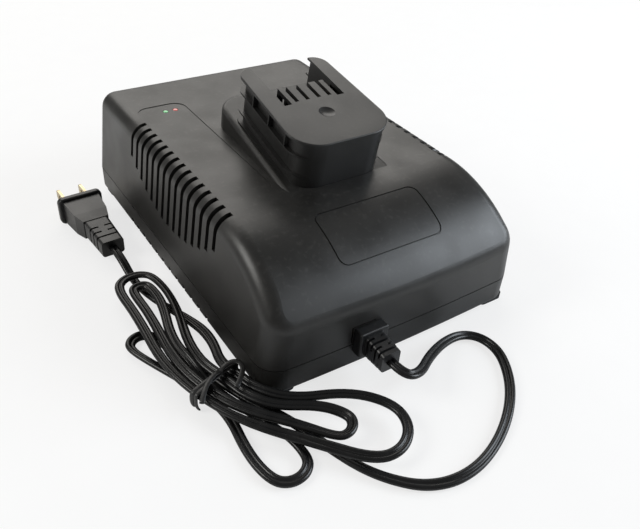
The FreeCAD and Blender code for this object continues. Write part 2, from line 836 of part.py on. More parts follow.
def power_package(x, face_y, side):
    """A flat power package against a heatsink's face, with its three legs."""
    y0, y1 = (face_y - 4.6, face_y) if side < 0 else (face_y, face_y + 4.6)
    body = box(x - 5.1, x + 5.1, y0, y1, board_top + 6.0, board_top + 15.0)
    tab_y = (y1 - 1.3, y1) if side < 0 else (y0, y0 + 1.3)
    tab = box(x - 5.1, x + 5.1, tab_y[0], tab_y[1], board_top + 14.9, board_top + 21.0)
    tab = tab.cut(Part.makeCylinder(1.9, 12, V(x, face_y - 6, board_top + 18.2), V(0, 1, 0)))
    legs = [box(x + dx - 0.4, x + dx + 0.4, (y0 + y1) / 2 - 0.3, (y0 + y1) / 2 + 0.3, board_top, board_top + 6.1)
            for dx in (-2.54, 0.0, 2.54)]
    return fuse_all([body, tab] + legs)


def package_screw(x, face_y, side):
    """Screw that clamps a package to its heatsink."""
    reach = 1.3 * side
    head = Part.makeCylinder(3.0, 2.0, V(x, face_y + reach, board_top + 18.2), V(0, side, 0))
    shank = Part.makeCylinder(1.4, 1.3 + sink_thickness, V(x, face_y + reach, board_top + 18.2), V(0, -side, 0))
    return head.fuse(shank)


def make_choke():
    """Ring core and its two windings."""
    x, y = choke_at
    low = board_top + 2.2
    ring = post(x, y, low, low + choke_height, choke_outer).cut(post(x, y, low - 1, low + choke_height + 1, choke_inner))
    skin = 1.4
    halves = []
    for angle in (0.0, 180.0):
        sleeve = post(x, y, low - skin, low + choke_height + skin, choke_outer + skin)
        sleeve = sleeve.cut(post(x, y, low - 5, low + choke_height + 5, choke_inner - skin))
        sleeve = sleeve.cut(post(x, y, low - winding_fit, low + choke_height + winding_fit, choke_outer + winding_fit).cut(
            post(x, y, low - 5, low + choke_height + 5, choke_inner - winding_fit)))
        wedge = prism([(0, 0), (30, -22), (30, 22)], low - 5, low + choke_height + 5)
        wedge.rotate(V(0, 0, 0), V(0, 0, 1), angle)
        wedge.translate(V(x, y, 0))
        part = sleeve.common(wedge)
        side = 1 if angle == 0.0 else -1
        leg_x = x + side * (choke_outer - 1.5)
        part = part.fuse(post(leg_x, y - 3, board_top, low - skin + 0.3, 0.6))
        part = part.fuse(post(leg_x, y + 3, board_top, low - skin + 0.3, 0.6))
        halves.append(part)
    return ring, group(halves)


def make_fuse():
    """Glass fuse with its end caps, and the two clips that hold it."""
    x, y = fuse_at
    axis_z = board_top + 5.0
    glass = Part.makeCylinder(2.4, 20.0, V(x - 10, y, axis_z), V(1, 0, 0))
    caps = [Part.makeCylinder(2.6, 5.0, V(x - 10 if s < 0 else x + 5, y, axis_z), V(1, 0, 0)) for s in (-1, 1)]
    fuse = glass.fuse(caps[0]).fuse(caps[1])
    clips = []
    for side in (-1, 1):
        cx = x + side * 7.5
        outer = box(cx - 2, cx + 2, y - 3.4, y + 3.4, board_top, axis_z + 2.2)
        inner = box(cx - 3, cx + 3, y - 2.65, y + 2.65, axis_z - 2.65, axis_z + 5)
        clips.append(outer.cut(inner))
    return fuse, group(clips)


def chip(x, y):
    """A control chip with two rows of pins."""
    length = chip_pin_count / 2 * 2.54
    body = box(x - 3.2, x + 3.2, y - length / 2, y + length / 2, board_top + 0.6, board_top + 3.9)
    pins = []
    for i in range(chip_pin_count // 2):
        py = y - length / 2 + 1.27 + i * 2.54
        for side in (-1, 1):
            x0 = x + side * 3.0
            x1 = x + side * 3.9
            pins.append(box(min(x0, x1), max(x0, x1), py - 0.25, py + 0.25, board_top, board_top + 2.3))
    return fuse_all([body] + pins)


def make_resistors():
    """A row of small resistors lying on the board."""
    parts = []
    for i in range(6):
        y = 4.0 + i * 6.0
        body = Part.makeCylinder(1.3, 7.0, V(-21.5, y, board_top + 1.3), V(1, 0, 0))
        parts.append(body)
    return group(parts)


def bevel_tube(points, radius, report=None):
    """A tube along straight runs joined by tangent arcs, each arc as large as its two runs allow."""
    edges = []
    start = points[0]
    radii = []
    for before, corner, after in zip(points, points[1:], points[2:]):
        u = before - corner
        v = after - corner
        run = min(u.Length, v.Length)
        u.normalize()
        v.normalize()
        turn = math.pi - math.acos(max(-1.0, min(1.0, u.dot(v))))
        setback = 0.45 * run
        bend = setback / math.tan(turn / 2)
        radii.append(bend)
        a = corner + u * setback
        b = corner + v * setback
        inward = u + v
        inward.normalize()
        middle = corner + inward * (bend / math.cos(turn / 2) - bend)
        edges.append(Part.LineSegment(start, a).toShape())
        edges.append(Part.Arc(a, middle, b).toShape())
        start = b
    edges.append(Part.LineSegment(start, points[-1]).toShape())
    wire = Part.Wire(edges)
    direction = points[1] - points[0]
    circle = Part.Wire([Part.makeCircle(radius, points[0], direction)])
    tube = wire.makePipeShell([circle], True, False)
    if report:
        ideal = math.pi * radius * radius * wire.Length
        print("%s: length %.1f, least radius %.1f, radii %s, volume over ideal %.4f" % (
            report, wire.Length, min(radii), " ".join("%.1f" % r for r in radii), tube.Volume / ideal))
    return tube, wire


def make_grip():
    """Cord grip: inner plate, neck, flange block and the ribbed boot."""
    w = grip_flange_width / 2
    flange_front = grip_back - grip_flange_depth
    block = box(grip_x - w, grip_x + w, flange_front, grip_back, grip_flange_low, grip_flange_high)
    rounded = [edge for edge in block.Edges
               if abs(edge.Vertexes[0].Point.y - edge.Vertexes[-1].Point.y) > 1.0
               or max(edge.Vertexes[0].Point.y, edge.Vertexes[-1].Point.y) < grip_back - 1.0]
    block = block.makeFillet(0.9, rounded)
    n = grip_neck_width / 2
    neck = box(grip_x - n, grip_x + n, grip_back - 0.5, grip_inner + 0.5, grip_neck_low, grip_neck_high)
    plate = box(grip_x - w, grip_x + w, grip_inner, grip_inner + grip_plate_depth, grip_flange_low - 1.4,
                grip_flange_high)
    end_y = flange_front - boot_length
    wires = []
    for y, width, low, high in ((flange_front + 0.3, boot_root_width, boot_root_low, boot_root_high),
                                (end_y, boot_end_width, boot_end_low, boot_end_high)):
        h = width / 2
        wires.append(Part.makePolygon([V(grip_x - h, y, low), V(grip_x + h, y, low), V(grip_x + h, y, high),
                                       V(grip_x - h, y, high), V(grip_x - h, y, low)]))
    boot = Part.makeLoft(wires, True, True)
    lengthwise = [edge for edge in boot.Edges
                  if abs(edge.Vertexes[0].Point.y - edge.Vertexes[-1].Point.y) > 5.0]
    boot = boot.makeFillet(1.8, lengthwise)
    grip = fuse_all([block, neck, plate, boot])
    hollow_x = boot_end_width / 2 - boot_groove_depth
    for i in range(boot_groove_count):
        y = flange_front - 1.2 - i * boot_groove_pitch
        core = box(grip_x - hollow_x, grip_x + hollow_x, y - 5, y + 5, boot_end_low + boot_groove_depth,
                   boot_end_high - boot_groove_depth)
        ring = box(grip_x - 9, grip_x + 9, y - boot_groove, y, boot_root_low - 3, boot_root_high + 3).cut(core)
        if i % 2 == 0:
            spine = box(grip_x - boot_spine / 2, grip_x + boot_spine / 2, y - 5, y + 5,
                        boot_root_low - 4, boot_root_high + 4)
            ring = ring.cut(spine)
        else:
            mid = (boot_end_low + boot_end_high) / 2
            spine = box(grip_x - 9, grip_x + 9, y - 5, y + 5, mid - boot_spine / 2, mid + boot_spine / 2)
            ring = ring.cut(spine)
        grip = grip.cut(ring)
    return grip, V(grip_x, end_y, exit_z)


def heading(angle):
    """Unit vector in plan, from the angle in degrees from +X."""
    return V(math.cos(math.radians(angle)), math.sin(math.radians(angle)), 0)


level_low = cord_diameter / 2 + floor_gap
level_high = level_low + cord_diameter + cord_gap


def strand(step, level, outward):
    """Where a strand crosses the hank's waist, counted in strands from its middle, and its direction."""
    along = heading(waist_heading)
    point = V(waist_x, waist_y, level) + heading(waist_heading - 90.0) * (step * strand_pitch)
    return point, along if outward else along * -1.0


def loop(angle, reach, half, level):
    """Nodes of one loop: out along its right side, round its tip and back along its left side."""
    out = heading(angle)
    right = heading(angle - 90.0)
    centre = V(waist_x, waist_y, level) + out * (reach - half)
    nodes = []
    for turn in (90.0, 0.0, -90.0):
        s = math.sin(math.radians(turn))
        c = math.cos(math.radians(turn))
        nodes.append((centre + right * (half * s) + out * (half * c), out * s - right * c))
    return nodes


def biarc(p0, t0, p1, t1):
    """Two tangent arcs from one node to the next, each as start, tangent and end."""
    v = p1 - p0
    a = 2.0 - 2.0 * t0.dot(t1)
    b = 2.0 * v.dot(t0 + t1)
    c = -v.dot(v)
    if abs(a) < 1e-9:
        d = -c / b
    else:
        d = (-b + math.sqrt(b * b - 4 * a * c)) / (2 * a)
    joint = (p0 + p1 + (t0 - t1) * d) * 0.5
    tangent = p1 - p0 - (t0 + t1) * d
    tangent.normalize()
    return [(p0, t0, joint), (joint, tangent, p1)]


def arc_points(p, t, q, count):
    """Points along the arc that leaves p along t and ends at q, with its length and radius."""
    chord = q - p
    length = chord.Length
    half = math.acos(max(-1.0, min(1.0, chord.dot(t) / length)))
    if half < 1e-5:
        return [p + chord * (i / count) for i in range(count + 1)], length, 1e9
    bulge = t - chord * (t.dot(chord) / (length * length))
    bulge.normalize()
    radius = length / (2 * math.sin(half))
    unit = chord * (1 / length)
    centre = (p + q) * 0.5 - bulge * (radius * math.cos(half))
    points = []
    for i in range(count + 1):
        a = -half + 2 * half * i / count
        points.append(centre + bulge * (radius * math.cos(a)) + unit * (radius * math.sin(a)))
    return points, radius * 2 * half, radius


# loops of the hank in the order the cord runs through them: heading, reach, half width
low_rear_loop = (111.0, 50.0, 6.0)
low_front_loop = (-82.0, 56.0, 9.0)
inner_rear_loop = (93.0, 76.0, 4.4)
inner_front_loop = (-53.6, 61.0, 6.4)
outer_rear_loop = (93.0, 85.0, 9.8)
outer_front_loop = (-50.3, 83.0, 15.2)
climb_heading = 101.0
climb_reach = 21.0
climb_tangent = 96.0
entry_strand = 1.0
low_strand = -1.0
climb_strand = 0.0
inner_strand = 0.95
outer_strand = 1.95
exit_strand = 2.1


inner_corner_turn = 212.0
outer_corner_turn = 216.0
inner_corner_extra = 5.4
corner_gap = 0.6


def round_corner(turn, clearance, level):
    """Where a strand passes the housing's front left corner on its way back to the waist."""
    centre = V(-(half_width - front_corner_radius), -(half_depth - front_corner_radius), level)
    reach = front_corner_radius + cord_diameter / 2 + clearance
    return centre + heading(turn) * reach, heading(turn - 90.0)


def hank_nodes():
    """The hank's route: low loops first, a climb on the way out, then inner and outer loops above."""
    nodes = [strand(entry_strand, level_low, True)]
    nodes += loop(*low_rear_loop, level_low)
    nodes.append(strand(low_strand, level_low, False))
    nodes += loop(*low_front_loop, level_low)
    nodes.append(strand(climb_strand, level_low, True))
    climb = V(waist_x, waist_y, level_high) + heading(climb_heading) * climb_reach
    nodes.append((climb, heading(climb_tangent)))
    nodes += loop(*inner_rear_loop, level_high)
    nodes.append(strand(-inner_strand, level_high, False))
    nodes += loop(*inner_front_loop, level_high)
    nodes.append(round_corner(inner_corner_turn, corner_gap + inner_corner_extra, level_high))
    nodes.append(strand(inner_strand, level_high, True))
    nodes += loop(*outer_rear_loop, level_high)
    nodes.append(strand(-outer_strand, level_high, False))
    nodes += loop(*outer_front_loop, level_high)
    nodes.append(round_corner(outer_corner_turn, corner_gap, level_high))
    nodes.append(strand(exit_strand, level_high, True))
    return nodes


def make_hank():
    """One unbroken tube through every loop of the hank."""
    edges = []
    samples = []
    least = 1e9
    nodes = hank_nodes()
    for (p0, t0), (p1, t1) in zip(nodes, nodes[1:]):
        for a, t, b in biarc(p0, t0, p1, t1):
            points, length, radius = arc_points(a, t, b, 2)
            least = min(least, radius)
            if radius > 1e6:
                edges.append(Part.LineSegment(a, b).toShape())
            else:
                edges.append(Part.Arc(a, points[1], b).toShape())
            samples += arc_points(a, t, b, max(2, int(length)))[0][:-1]
    wire = Part.Wire(edges)
    circle = Part.Wire([Part.makeCircle(cord_diameter / 2, nodes[0][0], nodes[0][1])])
    tube = wire.makePipeShell([circle], True, False)
    run = [0.0]
    for a, b in zip(samples, samples[1:]):
        run.append(run[-1] + (b - a).Length)
    gap = 1e9
    for i in range(0, len(samples), 2):
        for j in range(i + 1, len(samples)):
            if run[j] - run[i] > 4 * cord_diameter:
                gap = min(gap, (samples[j] - samples[i]).Length - cord_diameter)
    print("hank: length %.1f, least radius %.1f, least gap to itself %.2f, volume over ideal %.4f" % (
        wire.Length, least, gap, tube.Volume / (math.pi * (cord_diameter / 2) ** 2 * wire.Length)))
    return tube, wire, samples


def plug_place(shape):
    """Carry a shape from the plug's own frame, axis along +Y from its neck, to where the plug lies."""
    result = shape.copy()
    result.rotate(V(0, 0, 0), V(0, 1, 0), -plug_roll)
    result.rotate(V(0, 0, 0), V(1, 0, 0), plug_pitch)
    result.rotate(V(0, 0, 0), V(0, 0, 1), plug_heading - 90.0)
    result.translate(plug_neck)
    return result


plug_neck = V(-91.0, 27.5, 7.25)
plug_axis = V(0, 1, 0)
plug_axis = FreeCAD.Rotation(V(0, 0, 1), plug_heading - 90.0).multVec(
    FreeCAD.Rotation(V(1, 0, 0), plug_pitch).multVec(plug_axis))


def plug_section(y, width, height):
    """One rectangular section of the plug, across its axis."""
    return Part.makePolygon([V(-width / 2, y, -height / 2), V(width / 2, y, -height / 2),
                             V(width / 2, y, height / 2), V(-width / 2, y, height / 2),
                             V(-width / 2, y, -height / 2)])


def along_axis(shape, least):
    """Edges that run mostly along Y."""
    return [edge for edge in shape.Edges
            if abs(edge.Vertexes[0].Point.y - edge.Vertexes[-1].Point.y) > least]


def make_plug():
    """Moulded plug body: face flange, tapering grip and grooved neck."""
    waist_y_local = plug_length * plug_waist_share
    back = plug_length - plug_face_depth
    neck = Part.makeLoft([plug_section(0, plug_neck_width, plug_neck_height),
                          plug_section(waist_y_local, plug_waist_width, plug_waist_height)], True, True)
    neck = neck.makeFillet(1.6, along_axis(neck, 5.0))
    grip = Part.makeLoft([plug_section(waist_y_local - 0.4, plug_waist_width + 0.6, plug_waist_height + 0.6),
                          plug_section(waist_y_local + 7.0, plug_body_width - 2.5, plug_body_height - 0.8),
                          plug_section(back + 0.4, plug_body_width, plug_body_height)], True, True)
    face = Part.Face(plug_section(back, plug_face_width, plug_face_height)).extrude(V(0, plug_face_depth, 0))
    face = face.makeFillet(3.0, along_axis(face, 1.0))
    rims = [edge for edge in face.Edges
            if abs(edge.BoundBox.YMin - edge.BoundBox.YMax) < 1e-4]
    face = face.makeFillet(0.9, rims)
    body = neck.fuse(grip).fuse(face)
    for i in range(plug_groove_count):
        y = 5.0 + i * plug_groove_pitch
        half_x = plug_neck_width / 2 - plug_groove_depth
        half_z = plug_neck_height / 2 - plug_groove_depth
        ring = box(-15, 15, y, y + plug_groove, -12, 12)
        ring = ring.cut(box(-half_x, half_x, y - 1, y + 3, -half_z, half_z))
        if i > 0:
            ring = ring.cut(box(-1.6, 1.6, y - 1, y + 3, -12, 12))
        body = body.cut(ring)
    for blade in blade_shapes(0.02):
        body = body.cut(blade)
    return plug_place(body)


def blade_shapes(fit):
    """The two blades, in the plug's own frame."""
    shapes = []
    for side in (-1, 1):
        x = side * blade_spacing / 2
        t = blade_thickness / 2 + fit
        w = blade_width / 2 + fit
        blade = box(x - t, x + t, plug_length - blade_root - fit, plug_length + blade_length, -w, w)
        corners = [edge for edge in blade.Edges
                   if abs(edge.Vertexes[0].Point.x - edge.Vertexes[-1].Point.x) > 0.5
                   and edge.Vertexes[0].Point.y > plug_length + 1]
        blade = blade.makeFillet(1.8, corners)
        if fit == 0:
            hole = Part.makeCylinder(1.5, 20, V(x - 10, plug_length + 11.5, 0), V(1, 0, 0))
            blade = blade.cut(hole)
        shapes.append(blade)
    return shapes


def make_tie():
    """Twist tie: a hoop over the waist of the hank and its two free ends on top."""
    r = tie_diameter / 2
    clear = cord_diameter / 2 + tie_gap + r
    left = -(outer_strand * strand_pitch + clear)
    right = exit_strand * strand_pitch + clear
    high = level_high + clear
    along = heading(waist_heading)
    side = heading(waist_heading - 90.0)
    origin = V(waist_x, waist_y, 0)

    def at(u, z, v=0.0):
        """A point u across the waist, v along it and z up."""
        return origin + side * u + along * v + V(0, 0, z)

    hoop, wire = bevel_tube([at(left + 0.8, r), at(left, 2.6), at(left, high - 1.2), at(left + 1.2, high),
                             at(0, high + 0.4), at(right - 1.2, high), at(right, high - 1.2), at(right, 2.6),
                             at(right - 0.8, r)], r)
    first, wire = bevel_tube([at(3.0, high + 1.2, 0.5), at(8.0, high + 1.6, 1.0), at(11.6, high + 2.0, -0.5),
                              at(12.0, high + 1.7, -4.5), at(8.0, high + 1.2, -8.2), at(1.5, high + 0.6, -11.0)],
                             r * 0.9)
    second, wire = bevel_tube([at(4.5, high + 1.1, 0.2), at(-1.5, high + 1.3, 0.3), at(-6.5, high + 1.2, -1.5),
                               at(-10.5, high + 1.0, -4.0), at(-13.6, high + 0.2, -6.4)], r * 0.9)
    return hoop.fuse(first).fuse(second)


def make_wires():
    """Leads from the cord grip to the inlet, from the board to the dock and to the lamps."""
    inlet_x, inlet_y = inlet_at
    inner_face = grip_inner + grip_plate_depth
    mains = []
    for side in (-1, 1):
        x = grip_x + side * 2.6
        top = board_top + 8.0
        points = [V(x, inner_face, exit_z), V(x, inner_face + 7.0, exit_z), V(x, inlet_y - 10.0, top + 7.0),
                  V(x, inlet_y, top + 6.0), V(x, inlet_y, top)]
        mains.append(bevel_tube(points, wire_radius)[0])
    dock = []
    for x in leaf_slots:
        wx, wy, wz = wire_line(x)
        dock.append(post(wx, wy, board_top + 9.0, wz, wire_radius))
    return group(mains), group(dock)


lamp_board_z = top_z - wall - lamp_length - 1.6
lamp_board_half = 11.0
lamp_board_depth = 7.0
lamp_post_dx = 8.0


def make_lamps():
    """Two lamps, the small board under them and its two hanging screws."""
    lamps = []
    board_face = lamp_board_z + 1.6
    for side in (-1, 1):
        x = lamp_x + side * lamp_pitch / 2
        rim = post(x, lamp_y, board_face, board_face + lamp_rim_height, lamp_rim_radius)
        stem_top = top_z - label_depth + 0.1
        stem = post(x, lamp_y, board_face, stem_top, lamp_radius)
        dome = [edge for edge in stem.Edges if edge.BoundBox.ZMin > stem_top - 0.1]
        stem = stem.makeFillet(0.5, dome)
        lamps.append(rim.fuse(stem))
    plate = box(lamp_x - lamp_board_half, lamp_x + lamp_board_half, lamp_y - lamp_board_depth,
                lamp_y + lamp_board_depth, lamp_board_z, board_face)
    return lamps, plate


def lamp_posts_at():
    """Centres of the two posts that hold the lamp board."""
    return [(lamp_x + side * lamp_post_dx, lamp_y) for side in (-1, 1)]


upper = make_upper_housing()
board_face_z = lamp_board_z + 1.6
for px, py in lamp_posts_at():
    upper = upper.fuse(post(px, py, board_face_z, top_z - wall + 0.5, 2.4))
for px, py in lamp_posts_at():
    upper = upper.cut(post(px, py, board_face_z - 1, board_face_z + 4.0, 0.9 + screw_fit))
save("upper_housing", upper)
save("lower_housing", make_lower_housing())
save("foot_pads", make_feet())
save("housing_screws", make_housing_screws())
save("battery_dock", make_dock())
save("dock_base_plate", make_base_plate())
save("dock_screws", make_dock_screws())
save("contact_carrier", make_carrier())
for number, leaf_x in enumerate(leaf_slots, 1):
    save("contact_leaf_%d" % number, make_leaf(leaf_x))
lamp_shapes, lamp_plate = make_lamps()
for px, py in lamp_posts_at():
    lamp_plate = lamp_plate.cut(post(px, py, lamp_board_z - 1, board_face_z + 1, 0.9 + head_fit))
save("lamp_green", lamp_shapes[0])
save("lamp_red", lamp_shapes[1])
save("lamp_board", lamp_plate)
save("lamp_board_screws", group([screw(px, py, lamp_board_z - 1.2, 1.6 + 3.6, 0.9, 1.8, 1.2)
                                 for px, py in lamp_posts_at()]))
board = make_board()
save("circuit_board", board)
save("board_screws", group([screw_down(x, y, board_top, board_screw_length, board_screw_radius, 2.3, 1.6)
                            for x, y in board_posts_at]))
core_shape, bobbin_shape, winding_shape = make_transformer()
save("transformer_core", core_shape)
save("transformer_bobbin", bobbin_shape)
save("transformer_winding", winding_shape)
save("bulk_capacitor", can(bulk_at[0], bulk_at[1], bulk_radius, bulk_height))
save("output_capacitors", group([can(x, y, output_radius, output_height) for x, y in output_at]))
px, py = primary_sink_at
screw_bore = Part.makeCylinder(1.4 + 0.05, 12, V(px, py - 6, board_top + 18.2), V(0, 1, 0))
save("primary_heatsink", heatsink(px, py, -1).cut(screw_bore))
save("power_transistor", power_package(px, py + sink_thickness, 1))
qx, qy = secondary_sink_at
screw_bore = Part.makeCylinder(1.4 + 0.05, 12, V(qx, qy - 6, board_top + 18.2), V(0, 1, 0))
save("secondary_heatsink", heatsink(qx, qy, 1).cut(screw_bore))
save("rectifier_diode", power_package(qx, qy, -1))
save("package_screws", group([package_screw(px, py + sink_thickness, 1), package_screw(qx, qy, -1)]))
ring_shape, coil_shape = make_choke()
save("choke_core", ring_shape)
save("choke_windings", coil_shape)
fx, fy = film_at
save("film_capacitor", box(fx - 9, fx + 9, fy - 5, fy + 5, board_top, board_top + 15))
fuse_shape, clip_shape = make_fuse()
save("mains_fuse", fuse_shape)
save("fuse_clips", clip_shape)
rx, ry = relay_at
save("charge_relay", box(rx - 7.5, rx + 7.5, ry - 9.5, ry + 9.5, board_top, board_top + 15.5))
save("control_chip", chip(*chip_at))
save("board_resistors", make_resistors())
ix, iy = inlet_at
save("mains_terminal", box(ix - 6, ix + 6, iy - 5, iy + 5, board_top, board_top + 8))
socket = box(min(leaf_slots) - 4, max(leaf_slots) + 4, 0, 0.1, 0, 0.1)
dock_feet = [wire_line(x) for x in leaf_slots]
sy = dock_feet[0][1]
mains_wire_shape, dock_wire_shape = make_wires()
save("mains_leads", mains_wire_shape)
save("dock_leads", dock_wire_shape)
save("dock_socket", box(min(leaf_slots) - 3, max(leaf_slots) + 3, sy - 3.2, sy + 3.2, board_top, board_top + 9))
grip_shape, exit_point = make_grip()
save("cord_grip", grip_shape)

run_points = [
    exit_point, V(grip_x, -128.4, exit_z), V(-12.2, -128.2, 13.6), V(0.5, -119.8, 9.6), V(15.5, -113.2, 5.8),
    V(29.0, -111.0, 2.9), V(37.2, -116.6, level_low), V(38.3, -127.5, level_low), V(33.0, -138.6, level_low),
    V(24.6, -149.2, level_low), V(13.0, -158.8, level_low), V(-1.0, -166.6, level_low),
    V(-15.5, -171.2, level_low), V(-29.0, -171.4, level_low), V(-40.6, -167.0, level_low),
    V(-49.6, -158.4, level_low), V(-56.2, -148.6, level_low), V(-61.0, -136.6, level_low),
    V(-65.2, -122.6, level_low), V(-70.8, -108.0, level_low)]
entry_point, entry_direction = strand(entry_strand, level_low, True)
run_points += [entry_point - entry_direction * 12.0, entry_point]
run_shape, run_wire = bevel_tube(run_points, cord_diameter / 2, "cord_run")
save("cord_run", run_shape)
hank_shape, hank_wire, hank_samples = make_hank()
save("cord_hank", hank_shape)
leave_point, leave_direction = strand(exit_strand, level_high, True)
lead_points = [
    leave_point, leave_point + leave_direction * 7.0, V(-77.4, -63.0, level_high), V(-76.4, -51.5, 4.6),
    V(-77.6, -40.5, 2.4), V(-81.6, -29.0, level_low), V(-86.0, -18.0, level_low), V(-89.0, -6.5, level_low),
    V(-90.0, 5.0, level_low)]
lead_points += [plug_neck - plug_axis * 9.0, plug_neck]
lead_shape, lead_wire = bevel_tube(lead_points, cord_diameter / 2, "cord_lead")
save("cord_lead", lead_shape)
lead_samples = lead_wire.discretize(Distance=1.0)
near = min((a - b).Length for a in lead_samples[20:] for b in hank_samples[:-30]) - cord_diameter
run_samples = run_wire.discretize(Distance=1.0)
close = min((a - b).Length for a in run_samples[:-20] for b in hank_samples[20:]) - cord_diameter
print("gaps: lead to hank %.2f, run to hank %.2f" % (near, close))
print("cord length %.1f" % (run_wire.Length + hank_wire.Length + lead_wire.Length))
save("plug_body", make_plug())
save("plug_blades", plug_place(group(blade_shapes(0))))
save("twist_tie", make_tie())
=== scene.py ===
"""Looks of a charger for slide-on power tool batteries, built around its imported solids.

Places in the scene are in metres, in the frame of the solids: X to the right, Y to the rear, Z up,
with the origin under the middle of the housing. The cord and its tie are laid out in millimetres and
turned into that frame by mm().
"""

import logging
import math
from dataclasses import dataclass
from enum import Enum
from typing import Dict, List, Optional, Sequence, Tuple, Union

import bmesh
import bpy
from mathutils import Matrix, Vector

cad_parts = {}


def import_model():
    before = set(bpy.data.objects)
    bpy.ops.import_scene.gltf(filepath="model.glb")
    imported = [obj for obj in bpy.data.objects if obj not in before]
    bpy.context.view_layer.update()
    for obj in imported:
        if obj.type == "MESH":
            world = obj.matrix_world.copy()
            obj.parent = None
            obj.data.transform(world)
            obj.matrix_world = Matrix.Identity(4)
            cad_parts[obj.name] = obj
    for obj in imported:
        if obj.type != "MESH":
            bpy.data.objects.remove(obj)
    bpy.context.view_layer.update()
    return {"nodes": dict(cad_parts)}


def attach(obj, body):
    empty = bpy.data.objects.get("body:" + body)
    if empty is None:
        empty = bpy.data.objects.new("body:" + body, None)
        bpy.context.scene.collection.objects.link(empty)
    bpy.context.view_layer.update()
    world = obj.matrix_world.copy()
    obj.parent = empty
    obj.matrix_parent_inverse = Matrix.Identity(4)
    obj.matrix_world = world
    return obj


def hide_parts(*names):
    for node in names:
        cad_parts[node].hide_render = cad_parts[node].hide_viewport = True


log = logging.getLogger("charger")

MM = 0.001
MIDDLE_SHIFT = 0.825
BODY = "charger"
WAIST = (-87.2, -84.0)
WAIST_HEADING = 108.0
SQUARE = 90.0
WHITE = (1.0, 1.0, 1.0, 1.0)
UP = Vector((0.0, 0.0, 1.0))

Pair = Tuple[float, float]
Triple = Tuple[float, float, float]
Node = Tuple[Vector, Vector]
Entry = Union[int, str]


class Surface(Enum):
    """How a finish answers light."""

    MOULDED = "moulded"
    METAL = "metal"
    CLEAR = "clear"


@dataclass(frozen=True)
class Finish:
    """One finish, with the colours and the scale of detail of its surface."""

    name: str
    colour: Triple
    tint: Triple
    roughness: float = 0.45
    grain: float = 0.0
    grain_scale: float = 2200.0
    mottle_scale: float = 60.0
    dust: float = 0.0
    surface: Surface = Surface.MOULDED
    specular: float = 0.5
    coat: float = 0.0


HOUSING_PLASTIC = Finish("housing_plastic", (0.0120, 0.0116, 0.0108), (0.0165, 0.0158, 0.0146), 0.37, 0.22,
                         dust=0.05)
DOCK_PLASTIC = Finish("dock_plastic", (0.0105, 0.0103, 0.0100), (0.0145, 0.0142, 0.0138), 0.36, 0.2,
                      dust=0.03)
FOOT_RUBBER = Finish("foot_rubber", (0.012, 0.012, 0.012), (0.02, 0.02, 0.02), 0.8, 0.4, dust=0.1)
CORD_SHEATH = Finish("cord_sheath", (0.0080, 0.0080, 0.0083), (0.0105, 0.0105, 0.0108), 0.26, 0.03, 500.0,
                     120.0, specular=0.34)
GRIP_RUBBER = Finish("grip_rubber", (0.010, 0.010, 0.0105), (0.014, 0.014, 0.0147), 0.34, 0.2, 1800.0,
                     dust=0.04)
PLUG_RUBBER = Finish("plug_rubber", (0.010, 0.010, 0.0105), (0.014, 0.014, 0.0147), 0.32, 0.2, 1800.0,
                     dust=0.03)
TIE_RIBBON = Finish("tie_ribbon", (0.014, 0.014, 0.014), (0.022, 0.022, 0.022), 0.35, 0.1, 1500.0)
BLADE_BRASS = Finish("blade_brass", (0.62, 0.52, 0.33), (0.50, 0.42, 0.27), 0.28, 0.15, 1200.0, 150.0,
                     surface=Surface.METAL)
CONTACT_BRASS = Finish("contact_brass", (0.72, 0.56, 0.30), (0.60, 0.45, 0.24), 0.3, 0.1, 1500.0, 200.0,
                       surface=Surface.METAL)
SCREW_STEEL = Finish("screw_steel", (0.55, 0.55, 0.56), (0.42, 0.42, 0.43), 0.35, 0.1, 1500.0, 200.0,
                     surface=Surface.METAL)
SINK_ALUMINIUM = Finish("sink_aluminium", (0.62, 0.63, 0.64), (0.52, 0.53, 0.55), 0.42, 0.3, 700.0, 90.0,
                        surface=Surface.METAL)
COPPER_ENAMEL = Finish("copper_enamel", (0.50, 0.20, 0.09), (0.40, 0.15, 0.07), 0.35, 0.5, 700.0, 90.0,
                       surface=Surface.METAL)
GREEN_LENS = Finish("green_lens", (0.03, 0.42, 0.10), (0.05, 0.55, 0.16), 0.18, 0.0, coat=0.6)
RED_LENS = Finish("red_lens", (0.55, 0.03, 0.02), (0.70, 0.06, 0.04), 0.18, 0.0, coat=0.6)
BOARD = Finish("board_laminate", (0.10, 0.16, 0.04), (0.13, 0.20, 0.06), 0.4, 0.2, 900.0, 40.0, coat=0.3)
FERRITE = Finish("ferrite", (0.045, 0.045, 0.05), (0.07, 0.07, 0.075), 0.55, 0.5, 1500.0)
BOBBIN = Finish("bobbin_plastic", (0.52, 0.48, 0.36), (0.58, 0.54, 0.42), 0.5, 0.2)
TAPE = Finish("winding_tape", (0.58, 0.38, 0.03), (0.66, 0.45, 0.06), 0.25, 0.1, 500.0, 80.0, coat=0.3)
CAN_SLEEVE = Finish("can_sleeve", (0.012, 0.016, 0.045), (0.018, 0.024, 0.06), 0.3, 0.1, 500.0, coat=0.2)
PACKAGE = Finish("package_resin", (0.018, 0.018, 0.018), (0.028, 0.028, 0.028), 0.5, 0.3)
FILM = Finish("film_plastic", (0.46, 0.36, 0.05), (0.54, 0.43, 0.08), 0.4, 0.15)
GLASS = Finish("fuse_glass", (0.9, 0.95, 0.95), (0.8, 0.88, 0.88), 0.05, 0.0, surface=Surface.CLEAR)
RELAY = Finish("relay_plastic", (0.02, 0.05, 0.18), (0.03, 0.07, 0.24), 0.35, 0.2)
LACQUER = Finish("resistor_lacquer", (0.50, 0.38, 0.22), (0.58, 0.45, 0.28), 0.35, 0.2)
TERMINAL = Finish("terminal_plastic", (0.62, 0.61, 0.55), (0.7, 0.69, 0.63), 0.45, 0.2)
